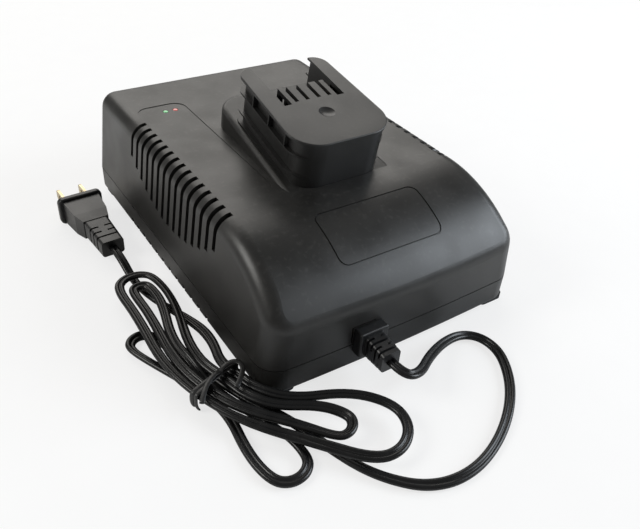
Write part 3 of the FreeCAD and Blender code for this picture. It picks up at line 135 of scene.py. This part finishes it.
LEAD = Finish("lead_sheath", (0.03, 0.03, 0.035), (0.05, 0.05, 0.055), 0.4, 0.1)
FLOOR = Finish("studio_floor", (0.90, 0.90, 0.90), (0.92, 0.92, 0.92), 0.9)

NODE_FINISHES: Dict[str, Finish] = {
    "upper_housing": HOUSING_PLASTIC, "lower_housing": HOUSING_PLASTIC, "foot_pads": FOOT_RUBBER,
    "housing_screws": SCREW_STEEL, "battery_dock": DOCK_PLASTIC, "dock_base_plate": DOCK_PLASTIC,
    "dock_screws": SCREW_STEEL, "contact_carrier": PACKAGE, "contact_leaf_1": CONTACT_BRASS,
    "contact_leaf_2": CONTACT_BRASS, "contact_leaf_3": CONTACT_BRASS, "lamp_green": GREEN_LENS,
    "lamp_red": RED_LENS, "lamp_board": BOARD, "lamp_board_screws": SCREW_STEEL, "circuit_board": BOARD,
    "board_screws": SCREW_STEEL, "transformer_core": FERRITE, "transformer_bobbin": BOBBIN,
    "transformer_winding": TAPE, "bulk_capacitor": CAN_SLEEVE, "output_capacitors": CAN_SLEEVE,
    "primary_heatsink": SINK_ALUMINIUM, "secondary_heatsink": SINK_ALUMINIUM, "power_transistor": PACKAGE,
    "rectifier_diode": PACKAGE, "package_screws": SCREW_STEEL, "choke_core": FERRITE,
    "choke_windings": COPPER_ENAMEL, "film_capacitor": FILM, "mains_fuse": GLASS, "fuse_clips": SCREW_STEEL,
    "charge_relay": RELAY, "control_chip": PACKAGE, "board_resistors": LACQUER, "mains_terminal": TERMINAL,
    "mains_leads": LEAD, "dock_leads": LEAD, "dock_socket": TERMINAL, "cord_grip": GRIP_RUBBER,
    "cord_run": CORD_SHEATH, "cord_hank": CORD_SHEATH, "cord_lead": CORD_SHEATH, "plug_body": PLUG_RUBBER,
    "plug_blades": BLADE_BRASS, "twist_tie": TIE_RIBBON,
}


def mm(x: float, y: float, z: float) -> Vector:
    """A point of the layout in millimetres, in metres of the solids' frame."""
    return Vector((x, y + MIDDLE_SHIFT, z)) * MM


def add_node(tree: bpy.types.NodeTree, kind: str,
             values: Optional[Dict[Entry, object]] = None) -> bpy.types.Node:
    """Adds a node to a tree.

    Args:
        tree: the tree it goes into.
        kind: the node's type.
        values: values of its inputs, by name or number.

    Returns:
        The new node.
    """
    node = tree.nodes.new(kind)
    for entry, value in (values or {}).items():
        node.inputs[entry].default_value = value
    return node


def wire(tree: bpy.types.NodeTree, source: bpy.types.Node, output: str, target: bpy.types.Node,
         entry: Entry) -> None:
    """Links an output of one node to an input of another."""
    tree.links.new(source.outputs[output], target.inputs[entry])


@dataclass
class SurfaceEffects:
    """Node groups that several finishes share."""

    grain_detail: float = 2.0
    mottle_detail: float = 4.0
    mottle_range: Pair = (0.35, 0.65)
    dust_scale: float = 420.0
    dust_detail: float = 5.0
    dust_range: Pair = (0.55, 0.8)

    def __post_init__(self) -> None:
        """Builds each group once."""
        self.grain = self._grain()
        self.mottle = self._mottle()
        self.dust = self._dust()

    @staticmethod
    def _group(name: str, entry: str, value: float,
               output: str) -> Tuple[bpy.types.NodeTree, bpy.types.Node, bpy.types.Node]:
        """Starts a node group with one input and one output.

        Args:
            name: the group's name.
            entry: the input's name.
            value: the input's default.
            output: the output's name.

        Returns:
            The group, its input node and its output node.
        """
        tree = bpy.data.node_groups.new(name, "ShaderNodeTree")
        socket = tree.interface.new_socket(entry, in_out="INPUT", socket_type="NodeSocketFloat")
        socket.default_value = value
        tree.interface.new_socket(output, in_out="OUTPUT", socket_type="NodeSocketFloat")
        return tree, add_node(tree, "NodeGroupInput"), add_node(tree, "NodeGroupOutput")

    @staticmethod
    def _product(tree: bpy.types.NodeTree) -> bpy.types.Node:
        """Adds a node that multiplies two masks."""
        node = add_node(tree, "ShaderNodeMath")
        node.operation = "MULTIPLY"
        node.use_clamp = True
        return node

    def _grain(self) -> bpy.types.NodeTree:
        """Fine spark-eroded grain: a height that feeds a bump."""
        tree, source, sink = self._group("moulding_grain", "Scale", 2000.0, "Height")
        place = add_node(tree, "ShaderNodeTexCoord")
        fine = add_node(tree, "ShaderNodeTexNoise", {"Detail": self.grain_detail})
        wire(tree, place, "Object", fine, "Vector")
        wire(tree, source, "Scale", fine, "Scale")
        wire(tree, fine, "Fac", sink, "Height")
        return tree

    def _mottle(self) -> bpy.types.NodeTree:
        """Slow change over a surface, as a mask from 0 to 1."""
        tree, source, sink = self._group("slow_mottle", "Scale", 60.0, "Mask")
        least, most = self.mottle_range
        place = add_node(tree, "ShaderNodeTexCoord")
        cloud = add_node(tree, "ShaderNodeTexNoise", {"Detail": self.mottle_detail})
        spread = add_node(tree, "ShaderNodeMapRange", {"From Min": least, "From Max": most})
        wire(tree, place, "Object", cloud, "Vector")
        wire(tree, source, "Scale", cloud, "Scale")
        wire(tree, cloud, "Fac", spread, "Value")
        wire(tree, spread, "Result", sink, "Mask")
        return tree

    def _dust(self) -> bpy.types.NodeTree:
        """Specks of dust on faces that look up, as a mask from 0 to 1."""
        tree, source, sink = self._group("settled_dust", "Amount", 0.1, "Mask")
        least, most = self.dust_range
        place = add_node(tree, "ShaderNodeTexCoord")
        specks = add_node(tree, "ShaderNodeTexNoise", {"Scale": self.dust_scale, "Detail": self.dust_detail})
        only = add_node(tree, "ShaderNodeMapRange", {"From Min": least, "From Max": most})
        facing = add_node(tree, "ShaderNodeNewGeometry")
        split = add_node(tree, "ShaderNodeSeparateXYZ")
        lying = self._product(tree)
        share = self._product(tree)
        wire(tree, place, "Object", specks, "Vector")
        wire(tree, specks, "Fac", only, "Value")
        wire(tree, facing, "Normal", split, "Vector")
        wire(tree, only, "Result", lying, 0)
        wire(tree, split, "Z", lying, 1)
        wire(tree, lying, "Value", share, 0)
        wire(tree, source, "Amount", share, 1)
        wire(tree, share, "Value", sink, "Mask")
        return tree


@dataclass
class FinishShop:
    """Makes one material for each finish, and puts it on pieces."""

    coat_roughness: float = 0.12
    clear_transmission: float = 0.9
    clear_alpha: float = 0.45
    dust_colour: Triple = (0.42, 0.40, 0.37)
    least_roughness: float = 0.02
    smoother: float = 0.03
    rougher: float = 0.05
    grain_depth: float = 0.00004

    def __post_init__(self) -> None:
        """Starts with the shared effects and no materials."""
        self.effects = SurfaceEffects()
        self.made: Dict[str, bpy.types.Material] = {}

    @staticmethod
    def _effect(tree: bpy.types.NodeTree, group: bpy.types.NodeTree, entry: str,
                value: float) -> bpy.types.Node:
        """Places a shared effect in a material.

        Args:
            tree: the material's nodes.
            group: the effect.
            entry: the name of its input.
            value: the input's value in this material.

        Returns:
            The effect's node.
        """
        node = add_node(tree, "ShaderNodeGroup")
        node.node_tree = group
        node.inputs[entry].default_value = value
        return node

    @staticmethod
    def _blend(tree: bpy.types.NodeTree) -> bpy.types.Node:
        """Adds a node that mixes two colours."""
        node = add_node(tree, "ShaderNodeMix")
        node.data_type = "RGBA"
        return node

    def _colour(self, tree: bpy.types.NodeTree, mottle: bpy.types.Node, finish: Finish) -> bpy.types.Node:
        """Mixes a finish's two colours and its dust, and returns the last node."""
        blend = self._blend(tree)
        blend.inputs["A"].default_value = (*finish.colour, 1.0)
        blend.inputs["B"].default_value = (*finish.tint, 1.0)
        wire(tree, mottle, "Mask", blend, "Factor")
        if finish.dust <= 0.0:
            return blend
        dust = self._effect(tree, self.effects.dust, "Amount", finish.dust)
        over = self._blend(tree)
        over.inputs["B"].default_value = (*self.dust_colour, 1.0)
        wire(tree, dust, "Mask", over, "Factor")
        wire(tree, blend, "Result", over, "A")
        return over

    def material(self, finish: Finish) -> bpy.types.Material:
        """The material of a finish.

        Args:
            finish: the finish to make.

        Returns:
            Its material, made the first time it is asked for.
        """
        if finish.name in self.made:
            return self.made[finish.name]
        material = bpy.data.materials.new(finish.name)
        material.use_nodes = True
        tree = material.node_tree
        shader = tree.nodes["Principled BSDF"]
        shader.inputs["Specular IOR Level"].default_value = finish.specular
        shader.inputs["Coat Weight"].default_value = finish.coat
        shader.inputs["Coat Roughness"].default_value = self.coat_roughness
        shader.inputs["Metallic"].default_value = 1.0 if finish.surface is Surface.METAL else 0.0
        if finish.surface is Surface.CLEAR:
            shader.inputs["Transmission Weight"].default_value = self.clear_transmission
            shader.inputs["Alpha"].default_value = self.clear_alpha
        mottle = self._effect(tree, self.effects.mottle, "Scale", finish.mottle_scale)
        wire(tree, self._colour(tree, mottle, finish), "Result", shader, "Base Color")
        rough = add_node(tree, "ShaderNodeMapRange",
                         {"To Min": max(self.least_roughness, finish.roughness - self.smoother),
                          "To Max": min(1.0, finish.roughness + self.rougher)})
        wire(tree, mottle, "Mask", rough, "Value")
        wire(tree, rough, "Result", shader, "Roughness")
        if finish.grain > 0.0:
            grain = self._effect(tree, self.effects.grain, "Scale", finish.grain_scale)
            bump = add_node(tree, "ShaderNodeBump", {"Strength": finish.grain, "Distance": self.grain_depth})
            wire(tree, grain, "Height", bump, "Height")
            wire(tree, bump, "Normal", shader, "Normal")
        self.made[finish.name] = material
        return material

    def dress(self, piece: bpy.types.Object, finish: Finish) -> None:
        """Puts a finish on the whole of a piece."""
        piece.data.materials.clear()
        piece.data.materials.append(self.material(finish))


def heading(angle: float) -> Vector:
    """Unit vector in plan, from the angle in degrees from +X."""
    return Vector((math.cos(math.radians(angle)), math.sin(math.radians(angle)), 0.0))


def tangent_corners(start: Node, end: Node) -> List[Vector]:
    """The two control points between two places on the cord whose directions are known.

    Args:
        start: place and direction the cord leaves.
        end: place and direction it reaches.

    Returns:
        Two points, the same distance ahead of the first place and behind the second.
    """
    (p0, t0), (p1, t1) = start, end
    v = p1 - p0
    a = 2.0 - 2.0 * t0.dot(t1)
    b = 2.0 * v.dot(t0 + t1)
    c = -v.dot(v)
    reach = -c / b if abs(a) < 1e-9 else (-b + math.sqrt(b * b - 4.0 * a * c)) / (2.0 * a)
    return [p0 + t0 * reach, p1 - t1 * reach]


def smooth_line(points: Sequence[Vector], steps: int) -> List[Vector]:
    """Follows one smooth NURBS spline.

    Args:
        points: the spline's control points, in metres.
        steps: how finely each span of the spline is followed.

    Returns:
        Places along the spline, from its first end to its last.
    """
    data = bpy.data.curves.new("route", "CURVE")
    data.dimensions = "3D"
    data.resolution_u = steps
    spline = data.splines.new("NURBS")
    spline.points.add(len(points) - 1)
    for target, point in zip(spline.points, points):
        target.co = (*point, 1.0)
    spline.order_u = 3
    spline.use_endpoint_u = True
    holder = bpy.data.objects.new("route", data)
    bpy.context.scene.collection.objects.link(holder)
    bpy.context.view_layer.update()
    mesh = bpy.data.meshes.new_from_object(holder)
    line = [vertex.co.copy() for vertex in mesh.vertices]
    bpy.data.meshes.remove(mesh)
    bpy.data.objects.remove(holder)
    bpy.data.curves.remove(data)
    return line


def skin(name: str, rings: Sequence[Sequence[Vector]]) -> bpy.types.Object:
    """Closes a smooth skin over rings of places, one ring after another.

    Args:
        name: the piece's name.
        rings: rings of the same number of places.

    Returns:
        The piece, linked to the scene.
    """
    shape = bmesh.new()
    made = [[shape.verts.new(place) for place in ring] for ring in rings]
    count = len(made[0])
    for one, two in zip(made, made[1:]):
        for k in range(count):
            shape.faces.new((one[k], one[(k + 1) % count], two[(k + 1) % count], two[k]))
    shape.faces.new(list(reversed(made[0])))
    shape.faces.new(made[-1])
    bmesh.ops.recalc_face_normals(shape, faces=shape.faces)
    mesh = bpy.data.meshes.new(name)
    shape.to_mesh(mesh)
    shape.free()
    for polygon in mesh.polygons:
        polygon.use_smooth = True
    piece = bpy.data.objects.new(name, mesh)
    bpy.context.scene.collection.objects.link(piece)
    return piece


@dataclass
class TwistTie:
    """Flat wired ribbon, wound twice over the waist of the hank, with its two ends on top."""

    left: float = -12.2
    right: float = 12.9
    top: float = 9.6
    width: float = 2.3
    thickness: float = 0.75
    wire_thickness: float = 1.15
    wire_spread: float = 0.45
    edge_roundness: float = 0.5
    ring_count: int = 12
    steps: int = 6
    winding_starts: Pair = (-1.5, 1.6)
    winding_leans: Pair = (2.6, -1.0)

    def at(self, across: float, height: float, along: float) -> Vector:
        """A place across the waist, up and along it, in metres."""
        side = heading(WAIST_HEADING - SQUARE)
        flat = Vector((*WAIST, 0.0)) + side * across + heading(WAIST_HEADING) * along
        return mm(flat.x, flat.y, height)

    def routes(self) -> List[List[Vector]]:
        """Control points of the two windings and of the two free ends."""
        left, right, top = self.left, self.right, self.top
        hoop = ((left + 0.9, 0.9), (left, 2.6), (left, top - 1.4), (left + 1.3, top), (0.0, top + 0.3),
                (right - 1.3, top), (right, top - 1.4), (right, 2.6), (right - 0.9, 0.9))
        span = len(hoop) - 1
        windings = []
        for start, lean in zip(self.winding_starts, self.winding_leans):
            windings.append([self.at(u, z, start + lean * i / span) for i, (u, z) in enumerate(hoop)])
        first = ((2.4, top + 0.2, 0.0), (4.2, top + 1.5, 0.8), (8.0, top + 2.0, 1.0), (11.6, top + 2.3, -0.5),
                 (12.0, top + 2.0, -4.5), (8.0, top + 1.5, -8.2), (1.5, top + 1.0, -11.0))
        second = ((4.9, top + 0.2, 0.1), (2.6, top + 1.6, 0.4), (-1.5, top + 1.8, 0.3),
                  (-6.5, top + 1.5, -1.5), (-10.5, top + 1.3, -4.0), (-13.6, top + 0.5, -6.4))
        return windings + [[self.at(*place) for place in end] for end in (first, second)]

    def section(self) -> List[Pair]:
        """Outline of the ribbon: thin edges and a bulge over its wire."""
        outline = []
        for i in range(self.ring_count):
            turn = 2.0 * math.pi * (i + 0.5) / self.ring_count
            across = self.width / 2.0 * math.cos(turn)
            bulge = (self.wire_thickness - self.thickness) * math.exp(-(across / self.wire_spread) ** 2)
            rise = (self.thickness + bulge) / 2.0 * abs(math.sin(turn)) ** self.edge_roundness
            outline.append((across * MM, math.copysign(rise, math.sin(turn)) * MM))
        return outline

    def ribbon(self, name: str, route: Sequence[Vector]) -> bpy.types.Object:
        """Sweeps the ribbon along one route.

        Args:
            name: the piece's name.
            route: the control points it follows.

        Returns:
            The swept piece.
        """
        outline = self.section()
        line = smooth_line(route, self.steps)
        across = heading(WAIST_HEADING)
        rings = []
        for i, point in enumerate(line):
            along = (line[min(len(line) - 1, i + 1)] - line[max(0, i - 1)]).normalized()
            across = (across - along * along.dot(across)).normalized()
            normal = along.cross(across)
            rings.append([point + across * u + normal * v for u, v in outline])
        return skin(name, rings)

    def build(self, shop: FinishShop) -> bpy.types.Object:
        """Winds the ribbon as one piece.

        Args:
            shop: the maker of materials.

        Returns:
            The tie's mesh object.
        """
        parts = [self.ribbon(f"tie_{number}", route) for number, route in enumerate(self.routes())]
        bpy.ops.object.select_all(action="DESELECT")
        for part in parts:
            part.select_set(True)
        bpy.context.view_layer.objects.active = parts[0]
        bpy.ops.object.join()
        tie = bpy.context.object
        tie.name = "hank_tie"
        bpy.ops.object.select_all(action="DESELECT")
        shop.dress(tie, TIE_RIBBON)
        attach(tie, BODY)
        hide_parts("twist_tie")
        return tie


@dataclass(frozen=True)
class Loop:
    """One loop of the hank: where it points from the waist, how far it reaches and half its width."""

    angle: float
    reach: float
    half: float


LOW_REAR_LOOP = Loop(111.0, 50.0, 6.0)
LOW_FRONT_LOOP = Loop(-82.0, 56.0, 9.0)
INNER_REAR_LOOP = Loop(93.0, 76.0, 4.4)
INNER_FRONT_LOOP = Loop(-53.6, 61.0, 6.4)
OUTER_REAR_LOOP = Loop(93.0, 85.0, 9.8)
OUTER_FRONT_LOOP = Loop(-50.3, 83.0, 15.2)


@dataclass
class MainsCord:
    """Flat twin cord: from the grip round to the hank, through its loops, and on to the plug."""

    width: float = 4.7
    thickness: float = 2.5
    web: float = 1.15
    core_turn: float = 126.0
    core_count: int = 11
    steps: int = 7
    length: float = 1.28
    low: float = 2.05
    high: float = 6.6
    pitch: float = 4.7
    corner_centre: Pair = (-61.0, -89.0)
    corner_radius: float = 11.0
    cord_radius: float = 2.0
    climb_side: float = 101.0
    climb_reach: float = 21.0
    climb_heading: float = 96.0
    hank_lead_in: float = 12.0
    hank_lead_out: float = 7.0
    grip_x: float = -21.5
    exit_z: float = 17.0
    plug_neck: Triple = (-91.0, 27.5, 7.25)
    plug_heading: float = 93.0
    plug_pitch: float = 1.0
    neck_run: float = 9.0
    flat_start: float = 0.02
    slow_roll: Triple = (24.0, 31.0, 0.0)
    quick_roll: Triple = (14.0, 67.0, 1.0)

    def strand(self, step: float, level: float, outward: bool) -> Node:
        """Where a strand crosses the waist and which way it runs there."""
        along = heading(WAIST_HEADING)
        side = heading(WAIST_HEADING - SQUARE)
        point = Vector((*WAIST, level)) + side * (step * self.pitch)
        return point, along if outward else -along

    def loop(self, shape: Loop, level: float) -> List[Node]:
        """Right side, tip and left side of one loop."""
        out = heading(shape.angle)
        right = heading(shape.angle - SQUARE)
        centre = Vector((*WAIST, level)) + out * (shape.reach - shape.half)
        nodes = []
        for turn in (SQUARE, 0.0, -SQUARE):
            s = math.sin(math.radians(turn))
            c = math.cos(math.radians(turn))
            nodes.append((centre + right * (shape.half * s) + out * (shape.half * c), out * s - right * c))
        return nodes

    def round_corner(self, turn: float, clearance: float) -> Node:
        """Where a strand passes the housing's corner on its way back to the waist."""
        centre = Vector((*self.corner_centre, self.high))
        reach = self.corner_radius + self.cord_radius + clearance
        return centre + heading(turn) * reach, heading(turn - SQUARE)

    def hank_nodes(self) -> List[Node]:
        """Places and directions through the whole hank."""
        nodes = [self.strand(1.0, self.low, True)]
        nodes += self.loop(LOW_REAR_LOOP, self.low)
        nodes.append(self.strand(-1.0, self.low, False))
        nodes += self.loop(LOW_FRONT_LOOP, self.low)
        nodes.append(self.strand(0.0, self.low, True))
        climb = Vector((*WAIST, self.high)) + heading(self.climb_side) * self.climb_reach
        nodes.append((climb, heading(self.climb_heading)))
        nodes += self.loop(INNER_REAR_LOOP, self.high)
        nodes.append(self.strand(-0.95, self.high, False))
        nodes += self.loop(INNER_FRONT_LOOP, self.high)
        nodes.append(self.round_corner(212.0, 6.0))
        nodes.append(self.strand(0.95, self.high, True))
        nodes += self.loop(OUTER_REAR_LOOP, self.high)
        nodes.append(self.strand(-1.95, self.high, False))
        nodes += self.loop(OUTER_FRONT_LOOP, self.high)
        nodes.append(self.round_corner(216.0, 0.6))
        nodes.append(self.strand(2.1, self.high, True))
        return nodes

    def axis(self) -> Vector:
        """Direction of the plug, from its neck to its blades."""
        flat = heading(self.plug_heading)
        rise = math.radians(self.plug_pitch)
        return flat * math.cos(rise) + Vector((0.0, 0.0, math.sin(rise)))

    def route(self) -> List[Vector]:
        """Control points of the whole cord, in layout millimetres."""
        low = self.low
        high = self.high
        points = [Vector(p) for p in (
            (self.grip_x, -118.65, self.exit_z), (self.grip_x, -128.4, self.exit_z), (-12.2, -128.2, 13.6),
            (0.5, -119.8, 9.6), (15.5, -113.2, 5.8), (29.0, -111.0, 2.9), (37.2, -116.6, low),
            (38.3, -127.5, low), (33.0, -138.6, low), (24.6, -149.2, low), (13.0, -158.8, low),
            (-1.0, -166.6, low), (-15.5, -171.2, low), (-29.0, -171.4, low), (-40.6, -167.0, low),
            (-49.6, -158.4, low), (-56.2, -148.6, low), (-61.0, -136.6, low), (-65.2, -122.6, low),
            (-70.8, -108.0, low))]
        nodes = self.hank_nodes()
        first, direction = nodes[0]
        points.append(first - direction * self.hank_lead_in)
        for start, end in zip(nodes, nodes[1:]):
            points += tangent_corners(start, end)
        last, direction = nodes[-1]
        points.append(last + direction * self.hank_lead_out)
        points += [Vector(p) for p in (
            (-77.4, -63.0, high), (-76.4, -51.5, 4.6), (-77.6, -40.5, 2.4), (-81.6, -29.0, low),
            (-86.0, -18.0, low), (-89.0, -6.5, low), (-90.0, 5.0, low))]
        neck = Vector(self.plug_neck)
        points += [neck - self.axis() * self.neck_run, neck]
        return points

    def section(self) -> List[Pair]:
        """Outline of the twin cord across its length: two round cores joined by a thin web."""
        core = self.thickness / 2.0
        offset = self.width / 2.0 - core
        outline = []
        for side in (1.0, -1.0):
            for i in range(self.core_count):
                turn = math.radians(self.core_turn * (2.0 * i / (self.core_count - 1) - 1.0))
                across = offset + core * math.cos(turn)
                outline.append((side * across * MM, side * core * math.sin(turn) * MM))
            outline.append((0.0, side * self.web / 2.0 * MM))
        return outline

    def lay_angle(self, run: float) -> float:
        """How far the flat of the cord is turned from lying flat, at a distance along it."""
        start = min(1.0, run / self.flat_start)
        slow, quick = (most * math.sin(run * rate + phase)
                       for most, rate, phase in (self.slow_roll, self.quick_roll))
        return math.radians(start * (slow + quick))

    def rings(self, line: Sequence[Vector]) -> List[List[Vector]]:
        """Places the section along a line, each ring lifted until it clears the floor.

        Args:
            line: places along the cord's spline.

        Returns:
            One ring of places for each place on the line.
        """
        outline = self.section()
        rings = []
        run = 0.0
        for i, point in enumerate(line):
            before = line[max(0, i - 1)]
            after = line[min(len(line) - 1, i + 1)]
            if i > 0:
                run += (point - before).length
            along = (after - before).normalized()
            across = along.cross(UP).normalized()
            normal = across.cross(along).normalized()
            turn = Matrix.Rotation(self.lay_angle(run), 3, along)
            across = turn @ across
            normal = turn @ normal
            ring = [point + across * u + normal * v for u, v in outline]
            sunk = min(0.0, min(place.z for place in ring))
            rings.append([place - UP * sunk for place in ring])
        return rings

    def build(self, shop: FinishShop, tie: bpy.types.Object) -> bpy.types.Object:
        """Sweeps the section along the route.

        Args:
            shop: the maker of materials.
            tie: the tie that holds the hank; not used.

        Returns:
            The cord's mesh object.
        """
        line = smooth_line([mm(*p) for p in self.route()], self.steps)
        cord = skin("mains_cord", self.rings(line))
        shop.dress(cord, CORD_SHEATH)
        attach(cord, BODY)
        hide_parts("cord_run", "cord_hank", "cord_lead")
        return cord


@dataclass(frozen=True)
class Softbox:
    """One rectangular light: its centre in metres, its width and height, its watts and its colour."""

    name: str
    place: Triple
    size: Pair
    power: float
    colour: Triple


SOFTBOXES = (
    Softbox("rear_softbox", (0.30, 0.9, 0.75), (1.3, 0.7), 6.8, (1.0, 0.97, 0.92)),
    Softbox("front_softbox", (0.9, -0.55, 0.55), (0.7, 0.7), 12.0, (0.86, 0.93, 1.0)),
    Softbox("left_softbox", (-0.95, 0.30, 0.75), (0.5, 0.5), 6.5, (1.0, 0.99, 0.95)),
)


@dataclass
class Studio:
    """Camera, floor and soft lights."""

    azimuth: float = -35.928
    elevation: float = 37.372
    roll: float = 4.414
    place: Triple = (-170.9, -268.2, 225.2)
    focal_px: float = 685.67
    image_width: float = 640.0
    sensor: float = 36.0
    nearest: float = 0.01
    light_target: Triple = (0.0, 0.0, 0.03)
    floor_size: float = 12.0
    floor_white: float = 0.72
    room_colour: Triple = (1.0, 0.99, 0.97)
    room_strength: float = 0.21

    def camera(self) -> None:
        """Puts the camera where the photograph was taken from."""
        data = bpy.data.cameras.new("camera")
        data.sensor_width = self.sensor
        data.lens = self.sensor * self.focal_px / self.image_width
        data.clip_start = self.nearest
        holder = bpy.data.objects.new("camera", data)
        bpy.context.scene.collection.objects.link(holder)
        a, e, r = (math.radians(v) for v in (self.azimuth, self.elevation, self.roll))
        back = Vector((math.sin(a) * math.cos(e), -math.cos(a) * math.cos(e), math.sin(e)))
        right = Vector((math.cos(a), math.sin(a), 0.0))
        up = back.cross(right)
        turned_right = right * math.cos(r) + up * math.sin(r)
        turned_up = up * math.cos(r) - right * math.sin(r)
        matrix = Matrix((turned_right, turned_up, back)).transposed().to_4x4()
        matrix.translation = mm(*self.place)
        holder.matrix_world = matrix
        bpy.context.scene.camera = holder

    def hang(self, box: Softbox) -> None:
        """Hangs a soft light that faces the object."""
        data = bpy.data.lights.new(box.name, "AREA")
        data.shape = "RECTANGLE"
        data.size, data.size_y = box.size
        data.energy = box.power
        data.color = box.colour
        holder = bpy.data.objects.new(box.name, data)
        bpy.context.scene.collection.objects.link(holder)
        holder.location = box.place
        aim = Vector(self.light_target) - Vector(box.place)
        holder.rotation_euler = aim.to_track_quat("-Z", "Y").to_euler()

    def floor(self, shop: FinishShop) -> None:
        """Adds the plain floor and its nearly white material."""
        bpy.ops.object.select_all(action="DESELECT")
        bpy.ops.mesh.primitive_plane_add(size=self.floor_size, location=(0.0, 0.0, 0.0))
        plane = bpy.context.object
        plane.name = "studio_floor"
        shop.dress(plane, FLOOR)
        tree = shop.material(FLOOR).node_tree
        white = add_node(tree, "ShaderNodeEmission", {"Color": WHITE})
        seen = add_node(tree, "ShaderNodeLightPath")
        share = add_node(tree, "ShaderNodeMath", {1: self.floor_white})
        share.operation = "MULTIPLY"
        mix = add_node(tree, "ShaderNodeMixShader")
        wire(tree, seen, "Is Camera Ray", share, 0)
        wire(tree, share, "Value", mix, "Fac")
        wire(tree, tree.nodes["Principled BSDF"], "BSDF", mix, 1)
        wire(tree, white, "Emission", mix, 2)
        wire(tree, mix, "Shader", tree.nodes["Material Output"], "Surface")

    def world(self) -> None:
        """Fills the room with even light; the camera sees it as white."""
        world = bpy.data.worlds.new("studio_room")
        bpy.context.scene.world = world
        world.use_nodes = True
        tree = world.node_tree
        background = tree.nodes["Background"]
        background.inputs["Color"].default_value = (*self.room_colour, 1.0)
        background.inputs["Strength"].default_value = self.room_strength
        white = add_node(tree, "ShaderNodeBackground", {"Color": WHITE})
        seen = add_node(tree, "ShaderNodeLightPath")
        mix = add_node(tree, "ShaderNodeMixShader")
        wire(tree, seen, "Is Camera Ray", mix, "Fac")
        wire(tree, background, "Background", mix, 1)
        wire(tree, white, "Background", mix, 2)
        wire(tree, mix, "Shader", tree.nodes["World Output"], "Surface")

    def build(self, shop: FinishShop) -> None:
        """Sets up the whole studio."""
        bpy.context.scene.view_settings.view_transform = "Standard"
        self.camera()
        self.floor(shop)
        self.world()
        for box in SOFTBOXES:
            self.hang(box)


def main() -> None:
    """Builds the part's looks in order."""
    logging.basicConfig(level=logging.INFO, format="%(message)s")
    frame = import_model()
    bpy.ops.object.select_all(action="DESELECT")
    shop = FinishShop()
    for name, node in frame["nodes"].items():
        shop.dress(node, NODE_FINISHES[name])
        log.info("dressed %s", name)
    tie = TwistTie().build(shop)
    log.info("made %s", tie.name)
    cord = MainsCord().build(shop, tie)
    log.info("made %s", cord.name)
    Studio().build(shop)
    log.info("studio set up")


if __name__ == "__main__":
    main()
